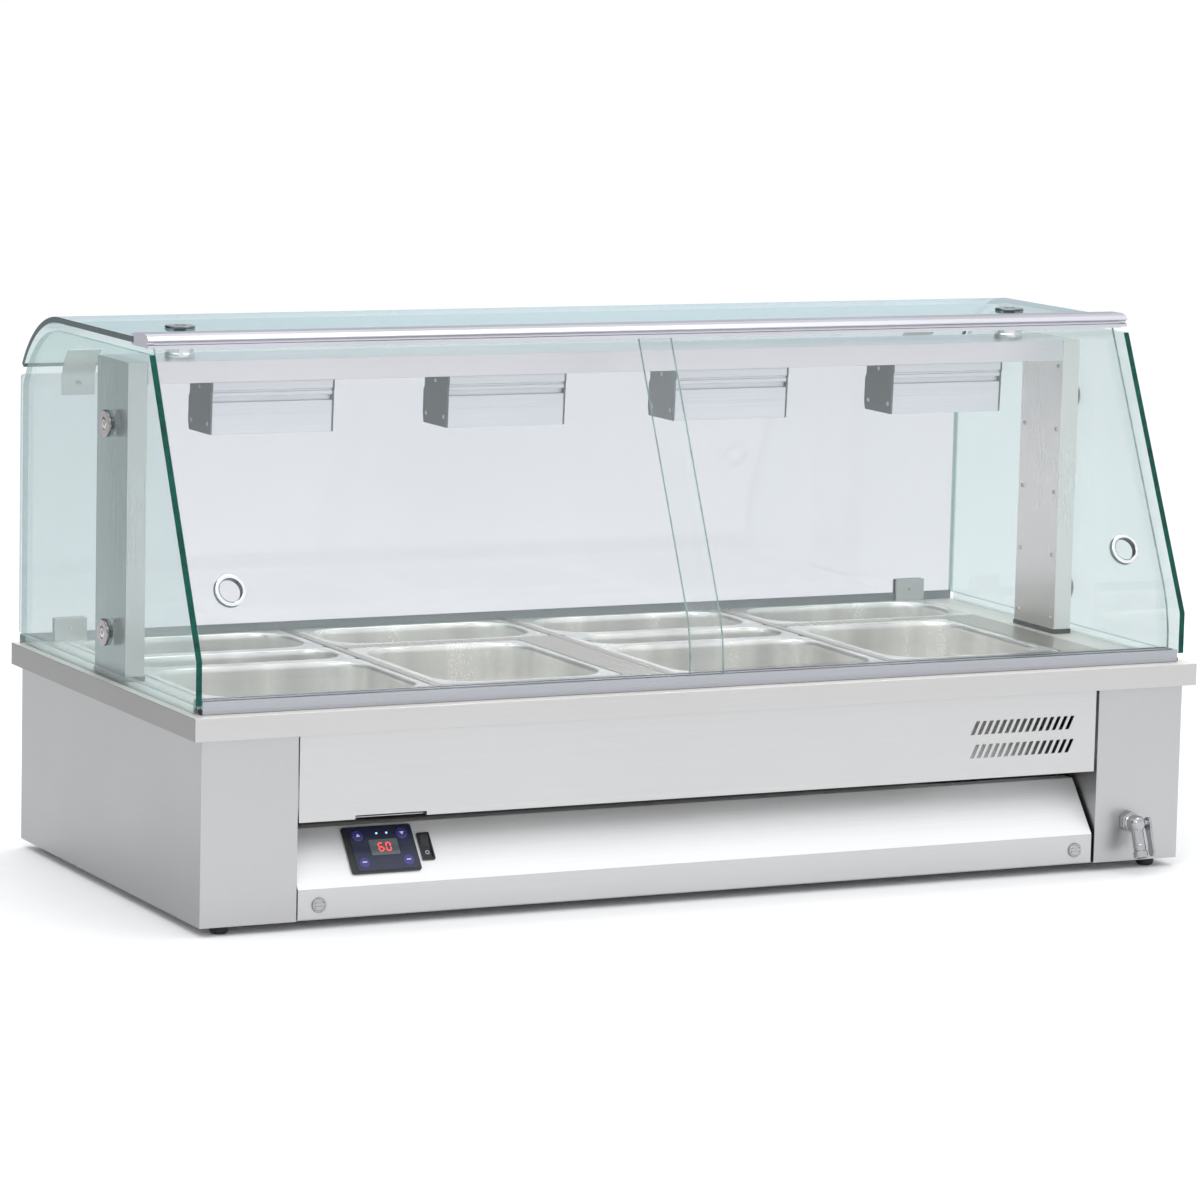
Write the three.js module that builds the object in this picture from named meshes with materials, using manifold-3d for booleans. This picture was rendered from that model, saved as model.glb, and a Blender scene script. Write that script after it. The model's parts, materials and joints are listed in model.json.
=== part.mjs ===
// Counter-top hot food display case: a heated well with lift-out pans under a glass canopy.
// Units are millimetres, +Z is up, -Y is the customer's side and the origin is under the centre.
import * as THREE from "three";
import { mergeVertices } from "three/addons/utils/BufferGeometryUtils.js";
import Module from "manifold-3d";

const wasm = await Module();
wasm.setup();

// Driving dimensions. Depths are measured from the worktop's centre line.
const WORKTOP_WIDTH = 1480;
const WORKTOP_DEPTH = 672;
const WORKTOP_TOP = 284;
const FASCIA_HEIGHT = 30;
const SHEET = 1.5;
const GAP = 0.3;
const FOOT_HEIGHT = 12;
const SIDE_OVERHANG = 14;
const FRONT_OVERHANG = 13;
const BACK_OVERHANG = 5;
const PILLAR_WIDTH = 133;
const COLUMN_PITCH = 340;
const PAN_LONG = 325;
const PAN_HALF = 265;
const PAN_BACK_DEPTH = 162;
const PAN_MIDDLE_DEPTH = 108;
const PAN_HEIGHT = 100;
const PAN_RIM = 12;
const PAN_CORNER = 52;
const WELL_BACK = 322;
const GLASS_BOTTOM = 296;
const CANOPY_TOP = 742;
const LEAN = THREE.MathUtils.degToRad(24.9);

// Sizes that follow from them.
const HALF_WIDTH = WORKTOP_WIDTH / 2;
const HALF_DEPTH = WORKTOP_DEPTH / 2;
const BASE_SIDE = HALF_WIDTH - SIDE_OVERHANG;
const BASE_FRONT = -HALF_DEPTH + FRONT_OVERHANG;
const BASE_BACK = HALF_DEPTH - BACK_OVERHANG;
const BASE_BOTTOM = FOOT_HEIGHT;
const BASE_TOP = WORKTOP_TOP - SHEET - GAP;
const PILLAR_INNER = BASE_SIDE - PILLAR_WIDTH;
const PANEL_LEFT = -PILLAR_INNER + 1.5;
const PANEL_RIGHT = PILLAR_INNER - 4.5;
const RIM_Z = WORKTOP_TOP + GAP;
const RIM_THICK = 1.2;
const BACK_ROW = [WELL_BACK - PAN_BACK_DEPTH, WELL_BACK];
const MIDDLE_ROW = [BACK_ROW[0] - 0.5 - PAN_MIDDLE_DEPTH, BACK_ROW[0] - 0.5];
const FRONT_ROW = [MIDDLE_ROW[0] - 0.5 - PAN_HALF, MIDDLE_ROW[0] - 0.5];
const TURNED_ROW = [-188, -188 + PAN_LONG];
const WELL_HALF = 1.5 * COLUMN_PITCH + PAN_LONG / 2 - PAN_RIM + 3.5;
const WELL_Y = [FRONT_ROW[0] + 9, WELL_BACK - 9];
const TANK_BOTTOM = 118;

// The slanted face of the control panel, from its knee up to its top edge.
const UPPER_PANEL_BOTTOM = 140;
const KNEE = new THREE.Vector2(BASE_FRONT, 53);
const SLANT_TOP = new THREE.Vector2(BASE_FRONT + 56, 122);
const SLANT_ANGLE = Math.atan2(SLANT_TOP.x - KNEE.x, SLANT_TOP.y - KNEE.y);
const CONTROLS_UP_SLANT = 50;
const CONTROLLER_SIZE = [98, 68];
const CONTROLLER_X = -463;
const ROCKER_SIZE = [12, 33];
const ROCKER_X = -400;
const LATCH_X = 562;
const LATCH_Z = 32;
const DRAIN = { x: 645, y: -150, z: 68, pipe: 9 };

// The gantry under the canopy, and the lamps it carries.
const GANTRY_Y = [-35, 76];
const GANTRY_Z = [674, 703];
const UPRIGHT_X = [691, 718];
const UPRIGHT_FOOT = 6;
const LAMP_SIZE = [176, 80, 70];
const LAMP_FRONT = -25;

// The glass canopy.
const END_GLASS_X = [723, 731];
const GLASS_KNEE_Z = 352;
const END_GLASS_FRONT = -314;
const TOP_GLASS = 8;
const ARC_CENTRE = [190, CANOPY_TOP - 164];
const ARC_RADIUS = 164;
const ARC_SWEEP = THREE.MathUtils.degToRad(57.3);
const REAR_GLASS_Y = [326, 332];
const REAR_GLASS_TOP = 652;
const OUTER_TRACK = -306;
const TRACK_PITCH = 16;
const DOOR_GLASS = 5;
const DOOR_BEND = 200;
const DOOR_TOP = 735;
const DOOR_END = 720.5;
const RING = { x: 668, z: 434, outer: 21, inner: 15.5, sleeve: 17.4, hole: 18 };
const STANDOFF = { y: 5, z: [345, 620], disc: 18, stem: 6, hole: 8 };
const TOP_FIXING = { x: 628, y: 12, disc: 20, stem: 6, hole: 8 };

const FINISHES = {
  steel: { color: 0xc9cbcc, roughness: 0.35, metalness: 1 },
  bright: { color: 0xd6d3cc, roughness: 0.22, metalness: 1 },
  chrome: { color: 0xe4e6e8, roughness: 0.08, metalness: 1 },
  aluminium: { color: 0xbfc0cc, roughness: 0.4, metalness: 1 },
  glass: { color: 0xcfe6e2, roughness: 0.03, metalness: 0, transparent: true, opacity: 0.3 },
  rubber: { color: 0x17181a, roughness: 0.8, metalness: 0 },
  plastic: { color: 0x141519, roughness: 0.4, metalness: 0 },
};

// ---- shape helpers ----

// A closed geometry as a manifold-3d solid.
function solidOf(geometry) {
  const bare = geometry.clone();
  bare.deleteAttribute("normal");
  bare.deleteAttribute("uv");
  const merged = mergeVertices(bare, 1e-4);
  const vertProperties = new Float32Array(merged.attributes.position.array);
  const triVerts = new Uint32Array(merged.index.array);
  return new wasm.Manifold(new wasm.Mesh({ numProp: 3, vertProperties, triVerts }));
}

// A manifold-3d solid as a geometry.
function geometryOf(solid) {
  const mesh = solid.getMesh();
  const geometry = new THREE.BufferGeometry();
  geometry.setAttribute("position", new THREE.BufferAttribute(mesh.vertProperties, 3));
  geometry.setIndex(new THREE.BufferAttribute(mesh.triVerts, 1));
  geometry.computeVertexNormals();
  return geometry;
}

// The first geometries joined, less the cut ones.
function shaped(joined, cuts = []) {
  const body = joined.map(solidOf).reduce((a, b) => a.add(b));
  return geometryOf(cuts.map(solidOf).reduce((a, b) => a.subtract(b), body));
}

function block([x0, x1], [y0, y1], [z0, z1]) {
  const box = new THREE.BoxGeometry(x1 - x0, y1 - y0, z1 - z0);
  return box.translate((x0 + x1) / 2, (y0 + y1) / 2, (z0 + z1) / 2);
}

function extruded(outline, length) {
  const shape = new THREE.Shape(outline.map(([a, b]) => new THREE.Vector2(a, b)));
  return new THREE.ExtrudeGeometry(shape, { depth: length, bevelEnabled: false });
}

// An outline of [y, z] points, extruded along X.
function alongX(outline, [x0, x1]) {
  const turn = new THREE.Matrix4().makeBasis(
    new THREE.Vector3(0, 1, 0),
    new THREE.Vector3(0, 0, 1),
    new THREE.Vector3(1, 0, 0),
  );
  return extruded(outline, x1 - x0).applyMatrix4(turn).translate(x0, 0, 0);
}

// An outline of [x, z] points, extruded along Y.
function alongY(outline, [y0, y1]) {
  return extruded(outline, y1 - y0).rotateX(Math.PI / 2).translate(0, y1, 0);
}

// An outline of [x, y] points, extruded along Z.
function alongZ(outline, [z0, z1]) {
  return extruded(outline, z1 - z0).translate(0, 0, z0);
}

function rectangle([a0, a1], [b0, b1]) {
  return [[a0, b0], [a1, b0], [a1, b1], [a0, b1]];
}

// Points on an arc in a plane, from angle a0 to a1.
function arc([ca, cb], radius, a0, a1, steps) {
  return Array.from({ length: steps + 1 }, (_, i) => {
    const a = a0 + ((a1 - a0) * i) / steps;
    return [ca + radius * Math.cos(a), cb + radius * Math.sin(a)];
  });
}

function roundedRectangle([x0, x1], [y0, y1], radius, steps) {
  const corners = [
    [x1 - radius, y0 + radius, -Math.PI / 2],
    [x1 - radius, y1 - radius, 0],
    [x0 + radius, y1 - radius, Math.PI / 2],
    [x0 + radius, y0 + radius, Math.PI],
  ];
  return corners.flatMap(([x, y, a]) => arc([x, y], radius, a, a + Math.PI / 2, steps));
}

// The outline of a bent strip: the path, and the same path shifted to its left by the thickness.
function strip(path, thickness) {
  const points = path.map(([a, b]) => new THREE.Vector2(a, b));
  const normals = points.slice(1).map((p, i) => {
    const along = p.clone().sub(points[i]).normalize();
    return new THREE.Vector2(-along.y, along.x);
  });
  const shifted = points.map((p, i) => {
    const before = normals[Math.max(i - 1, 0)];
    const after = normals[Math.min(i, normals.length - 1)];
    const mitre = before.clone().add(after).normalize();
    return p.clone().addScaledVector(mitre, thickness / mitre.dot(after));
  });
  return [...points, ...shifted.reverse()].map((p) => [p.x, p.y]);
}

// A round bar from one point to another.
function rod(from, to, radius, sides = 16) {
  const a = new THREE.Vector3(...from);
  const b = new THREE.Vector3(...to);
  const axis = b.clone().sub(a);
  const bar = new THREE.CylinderGeometry(radius, radius, axis.length(), sides);
  const turn = new THREE.Quaternion().setFromUnitVectors(
    new THREE.Vector3(0, 1, 0),
    axis.clone().normalize(),
  );
  const middle = a.add(b).multiplyScalar(0.5);
  return bar.applyQuaternion(turn).translate(middle.x, middle.y, middle.z);
}

// A profile of [radius, height] points, turned about the Z axis.
function turned(profile, sides = 24) {
  const points = profile.map(([r, h]) => new THREE.Vector2(r, h));
  return new THREE.LatheGeometry(points, sides).rotateX(Math.PI / 2);
}

// ---- the assembly ----

const root = new THREE.Group();
root.name = "hot_food_display_case";
const assembly = new THREE.Group();
root.add(assembly);

function addPart(name, finish, geometry) {
  const mesh = new THREE.Mesh(geometry, new THREE.MeshStandardMaterial(FINISHES[finish]));
  mesh.name = name;
  assembly.add(mesh);
  return mesh;
}

const SIDES = [["left", -1], ["right", 1]];

// A span of |x| values on one side of the centre, in rising order.
function onSide(side, [near, far]) {
  return side > 0 ? [near, far] : [-far, -near];
}

// ---- base casing ----

// Side wall, front pillar and rear fold, bent from one sheet.
function sidePanel(side) {
  const path = [
    [PILLAR_INNER, BASE_FRONT + 58],
    [PILLAR_INNER, BASE_FRONT],
    [BASE_SIDE, BASE_FRONT],
    [BASE_SIDE, BASE_BACK],
    [BASE_SIDE - 26, BASE_BACK],
  ];
  const outline = strip(path, SHEET).map(([x, y]) => [side * x, y]);
  const sheet = alongZ(outline, [BASE_BOTTOM, BASE_TOP]);
  if (side < 0) {
    return sheet;
  }
  const at = (y) => [DRAIN.x, y, DRAIN.z];
  return shaped([sheet], [rod(at(BASE_FRONT - 5), at(BASE_FRONT + 5), DRAIN.pipe + 1)]);
}

// Tray under the whole base, slotted at the front for the pillars' inner returns.
function baseFloor() {
  const path = [
    [BASE_FRONT + 4, BASE_BOTTOM],
    [BASE_BACK - 4, BASE_BOTTOM],
    [BASE_BACK - 4, BASE_BOTTOM + 22],
  ];
  const tray = alongX(strip(path, SHEET), [-BASE_SIDE + 2, BASE_SIDE - 2]);
  const slots = SIDES.map(([, side]) => {
    const across = onSide(side, [PILLAR_INNER - 0.5, PILLAR_INNER + SHEET + 0.5]);
    return block(across, [BASE_FRONT, BASE_FRONT + 60], [0, 30]);
  });
  return shaped([tray], slots);
}

const REAR_PANEL_Y = [BASE_BACK - 2 * SHEET - GAP, BASE_BACK - SHEET - GAP];
const GLAND = { x: 560, z: 70, neck: 10 };

function rearPanel() {
  const sheet = block([-BASE_SIDE + 6, BASE_SIDE - 6], REAR_PANEL_Y, [BASE_BOTTOM + 26, BASE_TOP]);
  const at = (y) => [GLAND.x, y, GLAND.z];
  return shaped([sheet], [rod(at(BASE_BACK - 20), at(BASE_BACK + 20), GLAND.neck + 0.5)]);
}

function cableGland() {
  const inner = REAR_PANEL_Y[0] - GAP;
  const outer = REAR_PANEL_Y[1] + GAP;
  const at = (y) => [GLAND.x, y, GLAND.z];
  return shaped(
    [
      rod(at(inner - 8), at(inner), 15, 6),
      rod(at(inner - 14), at(outer + 1), GLAND.neck),
      rod(at(outer), at(outer + 3.5), 15, 6),
      rod(at(outer), at(HALF_DEPTH - 0.2), 12),
    ],
    [rod(at(inner - 20), at(HALF_DEPTH + 5), 5.5)],
  );
}

// Two rows of slanted ventilation slots near the panel's right end.
function ventSlots() {
  const first = { x: 392, z: 169 };
  const slot = { width: 5.5, height: 18, slant: 8.5 };
  const outline = [
    [0, 0],
    [slot.width, 0],
    [slot.width + slot.slant, slot.height],
    [slot.slant, slot.height],
  ];
  const slots = [];
  for (let row = 0; row < 2; row += 1) {
    for (let column = 0; column < 15; column += 1) {
      const cut = alongY(outline, [BASE_FRONT - 2, BASE_FRONT + 4]);
      slots.push(cut.translate(first.x + 10.6 * column, 0, first.z + 32 * row));
    }
  }
  return slots;
}

function frontUpperPanel() {
  const path = [
    [BASE_FRONT, BASE_TOP],
    [BASE_FRONT, UPPER_PANEL_BOTTOM],
    [BASE_FRONT + 24, UPPER_PANEL_BOTTOM],
  ];
  const notch = block(
    [CONTROLLER_X - 50, CONTROLLER_X + 50],
    [BASE_FRONT - 2, BASE_FRONT + 12],
    [UPPER_PANEL_BOTTOM - 2, UPPER_PANEL_BOTTOM + 5],
  );
  return shaped([alongX(strip(path, SHEET), [PANEL_LEFT, PANEL_RIGHT])], [notch, ...ventSlots()]);
}

// A geometry drawn flat at the origin, facing +Z with +Y up, laid on the slanted face.
function onSlant(geometry, x, up) {
  const foot = KNEE.clone().lerp(SLANT_TOP, up / KNEE.distanceTo(SLANT_TOP));
  return geometry.rotateX(Math.PI / 2 - SLANT_ANGLE).translate(x, foot.x, foot.y);
}

function centredBlock([w, h], z0, z1) {
  return block([-w / 2, w / 2], [-h / 2, h / 2], [z0, z1]);
}

function controlPanel() {
  const path = [
    [SLANT_TOP.x + 20, SLANT_TOP.y],
    [SLANT_TOP.x, SLANT_TOP.y],
    [KNEE.x, KNEE.y],
    [BASE_FRONT, BASE_BOTTOM + 2],
    [BASE_FRONT + 24, BASE_BOTTOM + 2],
  ];
  const sheet = alongX(strip(path, SHEET), [PANEL_LEFT, PANEL_RIGHT]);
  const controller = centredBlock([CONTROLLER_SIZE[0] - 8, CONTROLLER_SIZE[1] - 8], -8, 8);
  const rocker = centredBlock([ROCKER_SIZE[0] + 2, ROCKER_SIZE[1] + 2], -8, 8);
  const latches = SIDES.map(([, side]) =>
    rod([side * LATCH_X, BASE_FRONT - 5, LATCH_Z], [side * LATCH_X, BASE_FRONT + 5, LATCH_Z], 5.5, 12),
  );
  return shaped(
    [sheet],
    [
      onSlant(controller, CONTROLLER_X, CONTROLS_UP_SLANT),
      onSlant(rocker, ROCKER_X, CONTROLS_UP_SLANT),
      ...latches,
    ],
  );
}

function foot() {
  const profile = [
    [0, 0],
    [7, 0],
    [9.5, 1.2],
    [11.5, 4],
    [12, 8],
    [12, FOOT_HEIGHT - GAP],
    [0, FOOT_HEIGHT - GAP],
  ];
  return turned(profile, 20);
}

// ---- controls ----

function controller() {
  const bezel = centredBlock(CONTROLLER_SIZE, GAP, 4);
  const window = centredBlock([CONTROLLER_SIZE[0] - 5, CONTROLLER_SIZE[1] - 5], 3, 6);
  const body = centredBlock([CONTROLLER_SIZE[0] - 9, CONTROLLER_SIZE[1] - 9], -38, 2);
  return onSlant(shaped([bezel, body], [window]), CONTROLLER_X, CONTROLS_UP_SLANT);
}

// A paddle whose two faces meet over its pivot: tipping it by ten degrees mirrors it.
const ROCKER_FACES = [-2, 8].map(THREE.MathUtils.degToRad);

function rocker() {
  const [width, height] = ROCKER_SIZE;
  const pivot = 1.6;
  const end = height / 2;
  const outline = [
    [-end, -5],
    [end, -5],
    [end, pivot + end * Math.tan(ROCKER_FACES[1])],
    [0, pivot],
    [-end, pivot + end * Math.tan(ROCKER_FACES[0])],
  ];
  return onSlant(alongX(outline, [-width / 2, width / 2]), ROCKER_X, CONTROLS_UP_SLANT);
}

function latch(side) {
  const at = (y) => [side * LATCH_X, y, LATCH_Z];
  const slot = block(
    [side * LATCH_X - 1.3, side * LATCH_X + 1.3],
    [BASE_FRONT - 6, BASE_FRONT - 2],
    [LATCH_Z - 12, LATCH_Z + 12],
  );
  const head = rod(at(BASE_FRONT - 3.2), at(BASE_FRONT - GAP), 10, 24);
  const stem = rod(at(BASE_FRONT - 1), at(BASE_FRONT + 8), 5, 12);
  const cam = block(
    [side * LATCH_X - 5, side * LATCH_X + 5],
    [BASE_FRONT + 7, BASE_FRONT + 10],
    [LATCH_Z - 14, LATCH_Z + 5],
  );
  return shaped([head, stem, cam], [slot]);
}

// ---- worktop, well and what hangs in it ----

function worktop() {
  const half = [-HALF_WIDTH, HALF_WIDTH];
  const outer = block(half, [-HALF_DEPTH, HALF_DEPTH], [WORKTOP_TOP - FASCIA_HEIGHT, WORKTOP_TOP]);
  const inner = block(
    [-HALF_WIDTH + SHEET, HALF_WIDTH - SHEET],
    [-HALF_DEPTH + SHEET, HALF_DEPTH - SHEET],
    [0, WORKTOP_TOP - SHEET],
  );
  const opening = block([-WELL_HALF, WELL_HALF], WELL_Y, [0, WORKTOP_TOP + 10]);
  return shaped([outer], [inner, opening]);
}

const ELEMENT = { x: 550, y: 90, z: 132, radius: 4.2 };

// Water tank: an open box hung under the worktop by its flange.
function wellTank() {
  const grow = (span, by) => [span[0] - by, span[1] + by];
  const inside = [-WELL_HALF, WELL_HALF];
  const flange = block(grow(inside, 11), grow(WELL_Y, 11), [BASE_TOP - SHEET, BASE_TOP]);
  const shell = block(grow(inside, SHEET), grow(WELL_Y, SHEET), [TANK_BOTTOM, BASE_TOP]);
  const water = block(inside, WELL_Y, [TANK_BOTTOM + SHEET, BASE_TOP + 10]);
  const above = (z) => [DRAIN.x, DRAIN.y, z];
  const drain = rod(above(TANK_BOTTOM - 5), above(TANK_BOTTOM + 5), DRAIN.pipe + 0.4);
  const terminals = [-1, 1].map((row) => {
    const y = row * ELEMENT.y;
    return rod([WELL_HALF - 5, y, ELEMENT.z], [WELL_HALF + 5, y, ELEMENT.z], ELEMENT.radius + 0.6, 12);
  });
  return shaped([shell, flange], [water, drain, ...terminals]);
}

// Hairpin immersion heater, both ends leaving through the tank's right wall.
function heatingElement() {
  const { x, y, z, radius } = ELEMENT;
  const path = new THREE.CurvePath();
  const at = (px, py) => new THREE.Vector3(px, py, z);
  const bend = Array.from({ length: 17 }, (_, i) => {
    const a = Math.PI / 2 + (Math.PI * i) / 16;
    return at(-x + y * Math.cos(a), y * Math.sin(a));
  });
  path.add(new THREE.LineCurve3(at(WELL_HALF + 9, y), bend[0]));
  path.add(new THREE.CatmullRomCurve3(bend));
  path.add(new THREE.LineCurve3(bend[16], at(WELL_HALF + 9, -y)));
  const circle = new THREE.Shape().absarc(0, 0, radius, 0, 2 * Math.PI);
  const section = new THREE.Shape(circle.getSpacedPoints(8).slice(0, 8));
  return new THREE.ExtrudeGeometry(section, { extrudePath: path, steps: 72, bevelEnabled: false });
}

// Bar between two columns: a rib that shows between the rims, and ledges that carry them.
function crossbar(x) {
  const rib = block([x - 6.5, x + 6.5], [WELL_Y[0] + 0.5, WELL_Y[1] - 0.5], [276, RIM_Z + SHEET]);
  const ledge = block([x - 17, x + 17], [WELL_Y[0] + 0.5, WELL_Y[1] - 0.5], [282, WORKTOP_TOP - 0.1]);
  const cap = block([x - 6.5, x + 6.5], [WELL_Y[0] - 18, WELL_Y[1] + 16], [RIM_Z, RIM_Z + SHEET]);
  return shaped([rib, ledge, cap]);
}

// Gastronorm pan: a flat rim round an open tub with round corners.
function pan([x0, x1], [y0, y1]) {
  const inset = (by) => [[x0 + by, x1 - by], [y0 + by, y1 - by]];
  const top = RIM_Z + RIM_THICK;
  const corner = Math.min(PAN_CORNER, (y1 - y0) / 2 - PAN_RIM - 2);
  const outer = roundedRectangle(...inset(PAN_RIM), corner, 8);
  const inner = roundedRectangle(...inset(PAN_RIM + 1.2), corner - 1.2, 8);
  const rim = alongZ(roundedRectangle(...inset(GAP), 12, 3), [RIM_Z, top]);
  const tub = alongZ(outer, [top - PAN_HEIGHT, RIM_Z + 0.5]);
  const inside = alongZ(inner, [top - PAN_HEIGHT + 1.2, top + 5]);
  return shaped([rim, tub], [inside]);
}

// Plate that fills a column round a turned half pan, with a ledge under the pan's rim.
function adaptorPlate(centre) {
  const left = centre - PAN_LONG / 2;
  const right = left + PAN_HALF;
  const column = [left + GAP, left + PAN_LONG - GAP];
  const plateZ = [RIM_Z, RIM_Z + SHEET];
  const ledgeZ = [WORKTOP_TOP - 1.6, WORKTOP_TOP - 0.1];
  const plate = block(column, [FRONT_ROW[0] + GAP, BACK_ROW[0] - GAP], plateZ);
  const hole = [TURNED_ROW[0] - GAP, TURNED_ROW[1] + GAP];
  const ledges = block([left + 14.5, right + 2], [hole[0] - SHEET, hole[1] + SHEET], [ledgeZ[0], plateZ[1]]);
  const under = [hole[0] + PAN_RIM, hole[1] - PAN_RIM];
  return shaped(
    [plate, ledges],
    [
      block([left - 5, right + 0.5], hole, [ledgeZ[1], plateZ[1] + 5]),
      block([left - 5, right - PAN_RIM + 0.5], under, [ledgeZ[0] - 5, plateZ[1]]),
    ],
  );
}

// ---- drain ----

const SPOUT_LEAN = THREE.MathUtils.degToRad(20);
const VALVE_Y = BASE_FRONT - 23;

// Pipe from the tank's floor, hexagon nut, valve body and spout.
function drainValve() {
  const { x, y, z, pipe } = DRAIN;
  const along = (reach) => [
    x,
    VALVE_Y - reach * Math.sin(SPOUT_LEAN),
    z - reach * Math.cos(SPOUT_LEAN),
  ];
  return shaped([
    rod([x, y, TANK_BOTTOM + 1], [x, y, z], pipe),
    rod([x, y + pipe, z], [x, VALVE_Y, z], pipe),
    rod([x, BASE_FRONT - GAP, z], [x, BASE_FRONT - 12, z], 14.5, 6),
    rod([x, BASE_FRONT - 11, z], [x, VALVE_Y - 9, z], 11.5),
    rod([x, VALVE_Y - 8, z], [x, VALVE_Y - 12, z], 8),
    rod(along(0), along(48), 8.5),
    rod(along(39), along(48), 10),
  ]);
}

// Lever that lies along the spout when the valve is open.
function valveHandle() {
  const stemStart = DRAIN.x + 12;
  const outline = [
    [-6, 7],
    [6, 7],
    [7, -10],
    [6, -34],
    [7, -46],
    [-7, -46],
    [-6, -34],
    [-7, -10],
  ];
  const plate = alongX(outline, [stemStart + 5, stemStart + 9]).rotateX(-SPOUT_LEAN);
  const stem = rod([stemStart, 0, 0], [stemStart + 11, 0, 0], 4.5, 12);
  return shaped([plate, stem]).translate(0, VALVE_Y, DRAIN.z);
}

// ---- gantry and lamps ----

function upright(side) {
  const [x0, x1] = onSide(side, UPRIGHT_X);
  const z = [WORKTOP_TOP + GAP + UPRIGHT_FOOT, GANTRY_Z[1]];
  const inner = [[x0 + 2, x1 - 2], [GANTRY_Y[0] + 2, GANTRY_Y[1] - 2]];
  const tube = block([x0, x1], GANTRY_Y, z);
  const pad = block(...inner, [WORKTOP_TOP + GAP, z[0] + 1]);
  const bore = block(...inner, [z[0] + 1, z[1] - 2]);
  const wiring = block([x0 + 8, x1 - 8], [0, 40], [WORKTOP_TOP, z[0] + 2]);
  return shaped([tube, pad], [bore, wiring]);
}

// Channel between the uprights, open underneath for the lamps' wiring.
function gantryBeam() {
  const end = UPRIGHT_X[0] - GAP;
  const path = [
    [GANTRY_Y[0] + 24, GANTRY_Z[0]],
    [GANTRY_Y[0], GANTRY_Z[0]],
    [GANTRY_Y[0], GANTRY_Z[1]],
    [GANTRY_Y[1], GANTRY_Z[1]],
    [GANTRY_Y[1], GANTRY_Z[0]],
    [GANTRY_Y[1] - 24, GANTRY_Z[0]],
  ];
  return alongX(strip(path, -2), [-end, end]);
}

// Extruded housing with a stepped top and an open underside, closed by its end caps.
function lampHousing(centre) {
  const [width, depth, height] = LAMP_SIZE;
  const top = GANTRY_Z[0] - GAP;
  const back = LAMP_FRONT + depth;
  const front = LAMP_FRONT;
  const outline = [
    [front + 3, top],
    [back - 3, top],
    [back - 3, top - 14],
    [back, top - 18],
    [back, top - height],
    [front, top - height],
    [front, top - 18],
    [front + 3, top - 14],
  ];
  const cavity = block(
    [centre - width / 2 + 3, centre + width / 2 - 3],
    [front + 6, back - 6],
    [top - height - 5, top - 22],
  );
  const span = [centre - width / 2, centre + width / 2];
  return shaped([alongX(outline, span)], [cavity]);
}

// ---- glass canopy ----

// A curve in the side plane that follows the canopy's rear bend at a given radius.
function rearBend(radius, sweep, steps) {
  return arc(ARC_CENTRE, radius, Math.PI / 2, Math.PI / 2 - sweep, steps);
}

const RAIL_SLOT_Y = -86;

function topGlass() {
  const half = END_GLASS_X[1];
  const outline = [
    [RAIL_SLOT_Y + 2, CANOPY_TOP],
    ...rearBend(ARC_RADIUS, ARC_SWEEP, 10),
    ...rearBend(ARC_RADIUS - TOP_GLASS, ARC_SWEEP, 10).reverse(),
    [RAIL_SLOT_Y + 2, CANOPY_TOP - TOP_GLASS],
  ];
  const holes = SIDES.map(([, side]) => {
    const x = side * TOP_FIXING.x;
    return rod([x, TOP_FIXING.y, CANOPY_TOP - 20], [x, TOP_FIXING.y, CANOPY_TOP + 5], TOP_FIXING.hole);
  });
  return shaped([alongX(outline, [-half, half])], holes);
}

function rearGlass() {
  return block([-END_GLASS_X[1], END_GLASS_X[1]], REAR_GLASS_Y, [GLASS_BOTTOM, REAR_GLASS_TOP]);
}

function endGlass(side) {
  const top = CANOPY_TOP - 19;
  const back = REAR_GLASS_Y[0] - 4;
  const radius = top - ARC_CENTRE[1];
  const sweep = Math.asin((back - ARC_CENTRE[0]) / radius);
  const leaned = END_GLASS_FRONT + (top - GLASS_KNEE_Z) * Math.tan(LEAN);
  const outline = [
    [END_GLASS_FRONT, GLASS_BOTTOM],
    [END_GLASS_FRONT, GLASS_KNEE_Z],
    [leaned, top],
    ...rearBend(radius, sweep, 10),
    [back, GLASS_BOTTOM],
  ];
  const span = onSide(side, END_GLASS_X);
  const holes = STANDOFF.z.map((z) =>
    rod([side * 700, STANDOFF.y, z], [side * 750, STANDOFF.y, z], STANDOFF.hole),
  );
  return shaped([alongX(outline, span)], holes);
}

// The middle line of a sliding door: upright in the track, then bent back to the canopy's lean.
function doorPath(trackY) {
  const tangent = DOOR_BEND * Math.tan(LEAN / 2);
  const centre = [trackY + DOOR_BEND, GLASS_KNEE_Z - tangent];
  const end = [trackY + (DOOR_TOP - GLASS_KNEE_Z) * Math.tan(LEAN), DOOR_TOP];
  return [[trackY, WORKTOP_TOP + 4], ...arc(centre, DOOR_BEND, Math.PI, Math.PI - LEAN, 6), end];
}

// A door's track position and its span along X.
const DOORS = {
  left: { track: OUTER_TRACK, span: [-DOOR_END, 20.5] },
  right: { track: OUTER_TRACK + TRACK_PITCH, span: [-20.5, DOOR_END] },
};

// The centre of a door's finger hole.
function ringCentre(name, side) {
  const y = DOORS[name].track + (RING.z - GLASS_KNEE_Z) * Math.tan(LEAN);
  return new THREE.Vector3(side * RING.x, y, RING.z);
}

function door(name, side) {
  const { track, span } = DOORS[name];
  const path = doorPath(track);
  const half = DOOR_GLASS / 2;
  const face = (side) => strip(path, side * half).slice(path.length);
  const outline = [...face(1), ...face(-1).reverse()];
  const centre = ringCentre(name, side);
  const across = new THREE.Vector3(0, Math.cos(LEAN), -Math.sin(LEAN)).multiplyScalar(15);
  const ends = [centre.clone().sub(across), centre.clone().add(across)].map((p) => p.toArray());
  return shaped([alongX(outline, span)], [rod(...ends, RING.hole, 24)]);
}

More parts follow.
